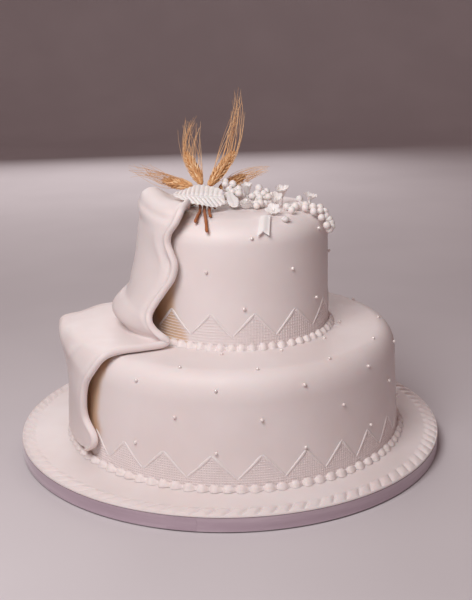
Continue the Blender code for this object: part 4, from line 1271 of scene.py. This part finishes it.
def make_wheat(number, stalk, straw, gold, seed):
    """A dried stalk: a straw, an ear of overlapping husks in rows, and awns from some of the husks."""
    rng = random.Random(seed)
    stem = [Vector(p) for p in stalk["stem"]]
    base, tip = (Vector(p) for p in stalk["ear"])
    path = stem + [base]
    shape = Shape()
    points = [top_point(spline(path, (len(path) - 1) * i / 24)) for i in range(25)]
    radii = [STEM_RADIUS * (0.92 + 0.08 * math.sin(i * 1.7)) for i in range(25)]
    loops_points, faces = rope(points, radii, 10)
    shape.add(loops_points, faces, tone=0.35)
    shape.piece(f"straw_{number}", straw)

    shape = Shape()
    axis = tip - base
    length = axis.length
    along = axis.normalized()
    side = along.cross(Vector((0, 1, 0.02))).normalized()
    up = along.cross(side)
    rows = max(6, round(length / 2.7))
    tips = []
    for i in range(rows + 1):
        s = i / rows
        thick = spline([(v,) for v in EAR_SHAPE], s * (len(EAR_SHAPE) - 1))[0] * EAR_RADIUS / MM
        for k in range(7):
            t = 2 * math.pi * (k + 0.5 * (i % 2)) / 7 + rng.uniform(-0.2, 0.2)
            out_way = side * math.cos(t) + up * 0.75 * math.sin(t)
            centre = base + axis * (s * 0.94) + out_way * thick * 0.56
            point_way = (along + out_way * rng.uniform(0.38, 0.8)).normalized()
            husk = rng.uniform(4.6, 5.6) * (0.75 + 0.25 * thick / (EAR_RADIUS / MM))
            width = 1.15 * rng.uniform(0.85, 1.1) * (0.7 + 0.3 * thick / (EAR_RADIUS / MM))
            stations = (-0.95, -0.6, -0.1, 0.4, 0.8, 1.15)
            sizes = (0.35, 0.85, 1.0, 0.8, 0.45, 0.1)
            line = [top_point(centre + point_way * husk * 0.62 * p) for p in stations]
            tone = rng.random()
            shape.add(*rope(line, [width * size * MM for size in sizes], 6), tone=tone)
            tips.append((centre + point_way * husk * 0.7, point_way, s))
    core = [top_point(base.lerp(tip, i / 8)) for i in range(9)]
    shape.add(*rope(core, [EAR_RADIUS * size * 0.45 for size in (*EAR_SHAPE, 0.3)], 8), tone=0.1)
    reach = Vector(stalk["awns"])
    rng.shuffle(tips)
    for i, (root, way, s) in enumerate(tips[:AWNS_PER_EAR]):
        ring = i * GOLDEN_ANGLE
        fan = Vector((math.cos(ring), 0.5 * math.sin(ring), 0.5 * math.sin(ring)))
        fan *= stalk["spread"] * rng.uniform(0.3, 1.0)
        end = reach + fan * (1 - 0.5 * s) - (reach - tip) * (0.35 * (1 - s) + rng.uniform(0.0, 0.2))
        bend = root + way * (end - root).length * 0.45
        middle = bend * 0.5 + (root + end) * 0.25
        curve = []
        for j in range(7):
            w = j / 6
            curve.append(top_point(root * (1 - w) ** 2 + middle * 2 * w * (1 - w) + end * w * w))
        shape.add(*hair(curve, [(0.26 - 0.17 * j / 6) * MM for j in range(7)]), tone=rng.uniform(0.2, 0.8))
    shape.piece(f"wheat_ear_{number}", gold, [f"wheat_{number}"], sharp=70)


# Floor, lights and camera

def make_stage():
    """A pale floor that sweeps up behind the cake."""
    n = Nodes("Studio paper", (0.63, 0.59, 0.61), 0.85)
    n.colour(n.ramp(n.noise(3, 2), [(0.4, (0.615, 0.575, 0.595)), (0.6, (0.645, 0.605, 0.625))]))
    profile = [(-FLOOR_REACH, 0.0), (FLOOR_BEND_START, 0.0)]
    start, bend = FLOOR_BEND_START, FLOOR_BEND_RADIUS
    bends = [math.pi / 2 * i / 16 for i in range(1, 17)]
    profile += [(start + bend * math.sin(a), bend - bend * math.cos(a)) for a in bends]
    profile += [(start + bend, BACKDROP_TOP)]
    points, faces = [], []
    for y, z in profile:
        points += [(-FLOOR_REACH, y, z - FLOOR_SINK), (FLOOR_REACH, y, z - FLOOR_SINK)]
    for i in range(len(profile) - 1):
        a = 2 * i
        faces.append((a, a + 1, a + 3, a + 2))
    mesh = bpy.data.meshes.new("studio_floor")
    mesh.from_pydata(points, [], faces)
    mesh.shade_smooth()
    mesh.materials.append(n.material)
    floor = bpy.data.objects.new("studio_floor", mesh)
    bpy.context.scene.collection.objects.link(floor)


def add_light(name, place, size, energy, colour):
    """A soft square light that faces the cake."""
    data = bpy.data.lights.new(name, "AREA")
    data.size = size
    data.energy = energy
    data.color = colour
    light = bpy.data.objects.new(name, data)
    light.location = place
    facing = Vector(LIGHT_TARGET) - Vector(place)
    light.rotation_euler = facing.to_track_quat("-Z", "Y").to_euler()
    bpy.context.scene.collection.objects.link(light)


def make_lights():
    """A soft key over the camera's left shoulder, a broad light behind the cake, and a warm dim room."""
    add_light("key", **KEY_LIGHT)
    add_light("back", **BACK_LIGHT)
    world = bpy.data.worlds.new("room")
    world.use_nodes = True
    background = world.node_tree.nodes["Background"]
    background.inputs["Color"].default_value = ROOM_COLOUR
    background.inputs["Strength"].default_value = ROOM_STRENGTH
    bpy.context.scene.world = world


def make_camera():
    """The photograph's viewpoint."""
    data = bpy.data.cameras.new("camera")
    data.sensor_fit = "VERTICAL"
    data.sensor_height = CAMERA_SENSOR_HEIGHT
    data.lens = CAMERA_LENS
    data.clip_start = 0.02
    camera = bpy.data.objects.new("camera", data)
    facing = (CAMERA_TARGET - CAMERA_PLACE).to_track_quat("-Z", "Y")
    camera.location = CAMERA_PLACE
    roll = Matrix.Rotation(math.radians(CAMERA_ROLL), 3, "Z").to_quaternion()
    camera.rotation_euler = (facing @ roll).to_euler()
    bpy.context.scene.collection.objects.link(camera)
    bpy.context.scene.camera = camera


def build():
    """Dress every part of the cake."""
    make_camera()
    make_stage()
    make_lights()
    scene = bpy.context.scene
    scene.view_settings.view_transform = "Standard"

    light, dark = (0.84, 0.765, 0.755), (0.81, 0.725, 0.71)
    # The warm colour is painted shade under and beside the swag
    paste = paste_material("Sugar paste", light, dark, painted_shade=(0.72, 0.51, 0.35))
    sugar = paste_material("Modelled sugar", (0.91, 0.865, 0.845), (0.86, 0.80, 0.775), 0.42, 0.2)
    piping = piping_material("Royal icing", (0.81, 0.73, 0.715), (0.87, 0.80, 0.785), 0.15)
    net_icing = piping_material("Net icing", (0.82, 0.73, 0.72), (0.87, 0.785, 0.775), 0.0)
    pearl = pearl_material()
    straw = wheat_material("Straw", (0.28, 0.085, 0.025), (0.44, 0.15, 0.05), (0.56, 0.24, 0.09), 0.6)
    gold = wheat_material("Wheat ear", (0.58, 0.29, 0.12), (0.76, 0.45, 0.22), (0.88, 0.63, 0.38), 0.65)

    make_board(foil_material(), satin_material(), paste)
    make_tier("lower_tier", LOWER, LOWER_SWAG_SPAN, paste)
    make_tier("upper_tier", UPPER, UPPER_SWAG_SPAN, paste)
    for name, tier, pattern in (("lower", LOWER, LOWER_ZIGZAG), ("upper", UPPER, UPPER_ZIGZAG)):
        make_net(f"{name}_net", tier, pattern, net_icing)
        make_zigzag(f"{name}_zigzag", tier, pattern, piping, pattern["points"])
    make_pearls("lower_pearls", LOWER, LOWER_PEARLS, LOWER_SWAG_SPAN, LEDGE_PEARLS, pearl, 11)
    make_pearls("upper_pearls", UPPER, UPPER_PEARLS, UPPER_SWAG_SPAN, [], pearl, 12)
    make_border("lower_shells", "lower_border", LOWER, LOWER_SHELLS, piping, 21)
    make_border("upper_shells", "upper_border", UPPER, UPPER_SHELLS, piping, 22)
    make_swag(paste)
    make_leaves(sugar)
    make_grapes("sugar_grapes_left", "grapes_left", GRAPES_LEFT, GRAPE_LUMPS_LEFT, sugar, 31)
    make_grapes("sugar_grapes_middle", "grapes_middle", GRAPES_MIDDLE, GRAPE_LUMPS_MIDDLE, sugar, 32)
    make_grapes("sugar_grapes_right", "grapes_right", GRAPES_RIGHT, [], sugar, 33)
    make_blossoms(sugar)
    make_rose(sugar)
    make_bud(sugar)
    make_ribbon_tail(sugar)
    for number, stalk in enumerate(WHEAT, 1):
        make_wheat(number, stalk, straw, gold, 40 + number)


build()
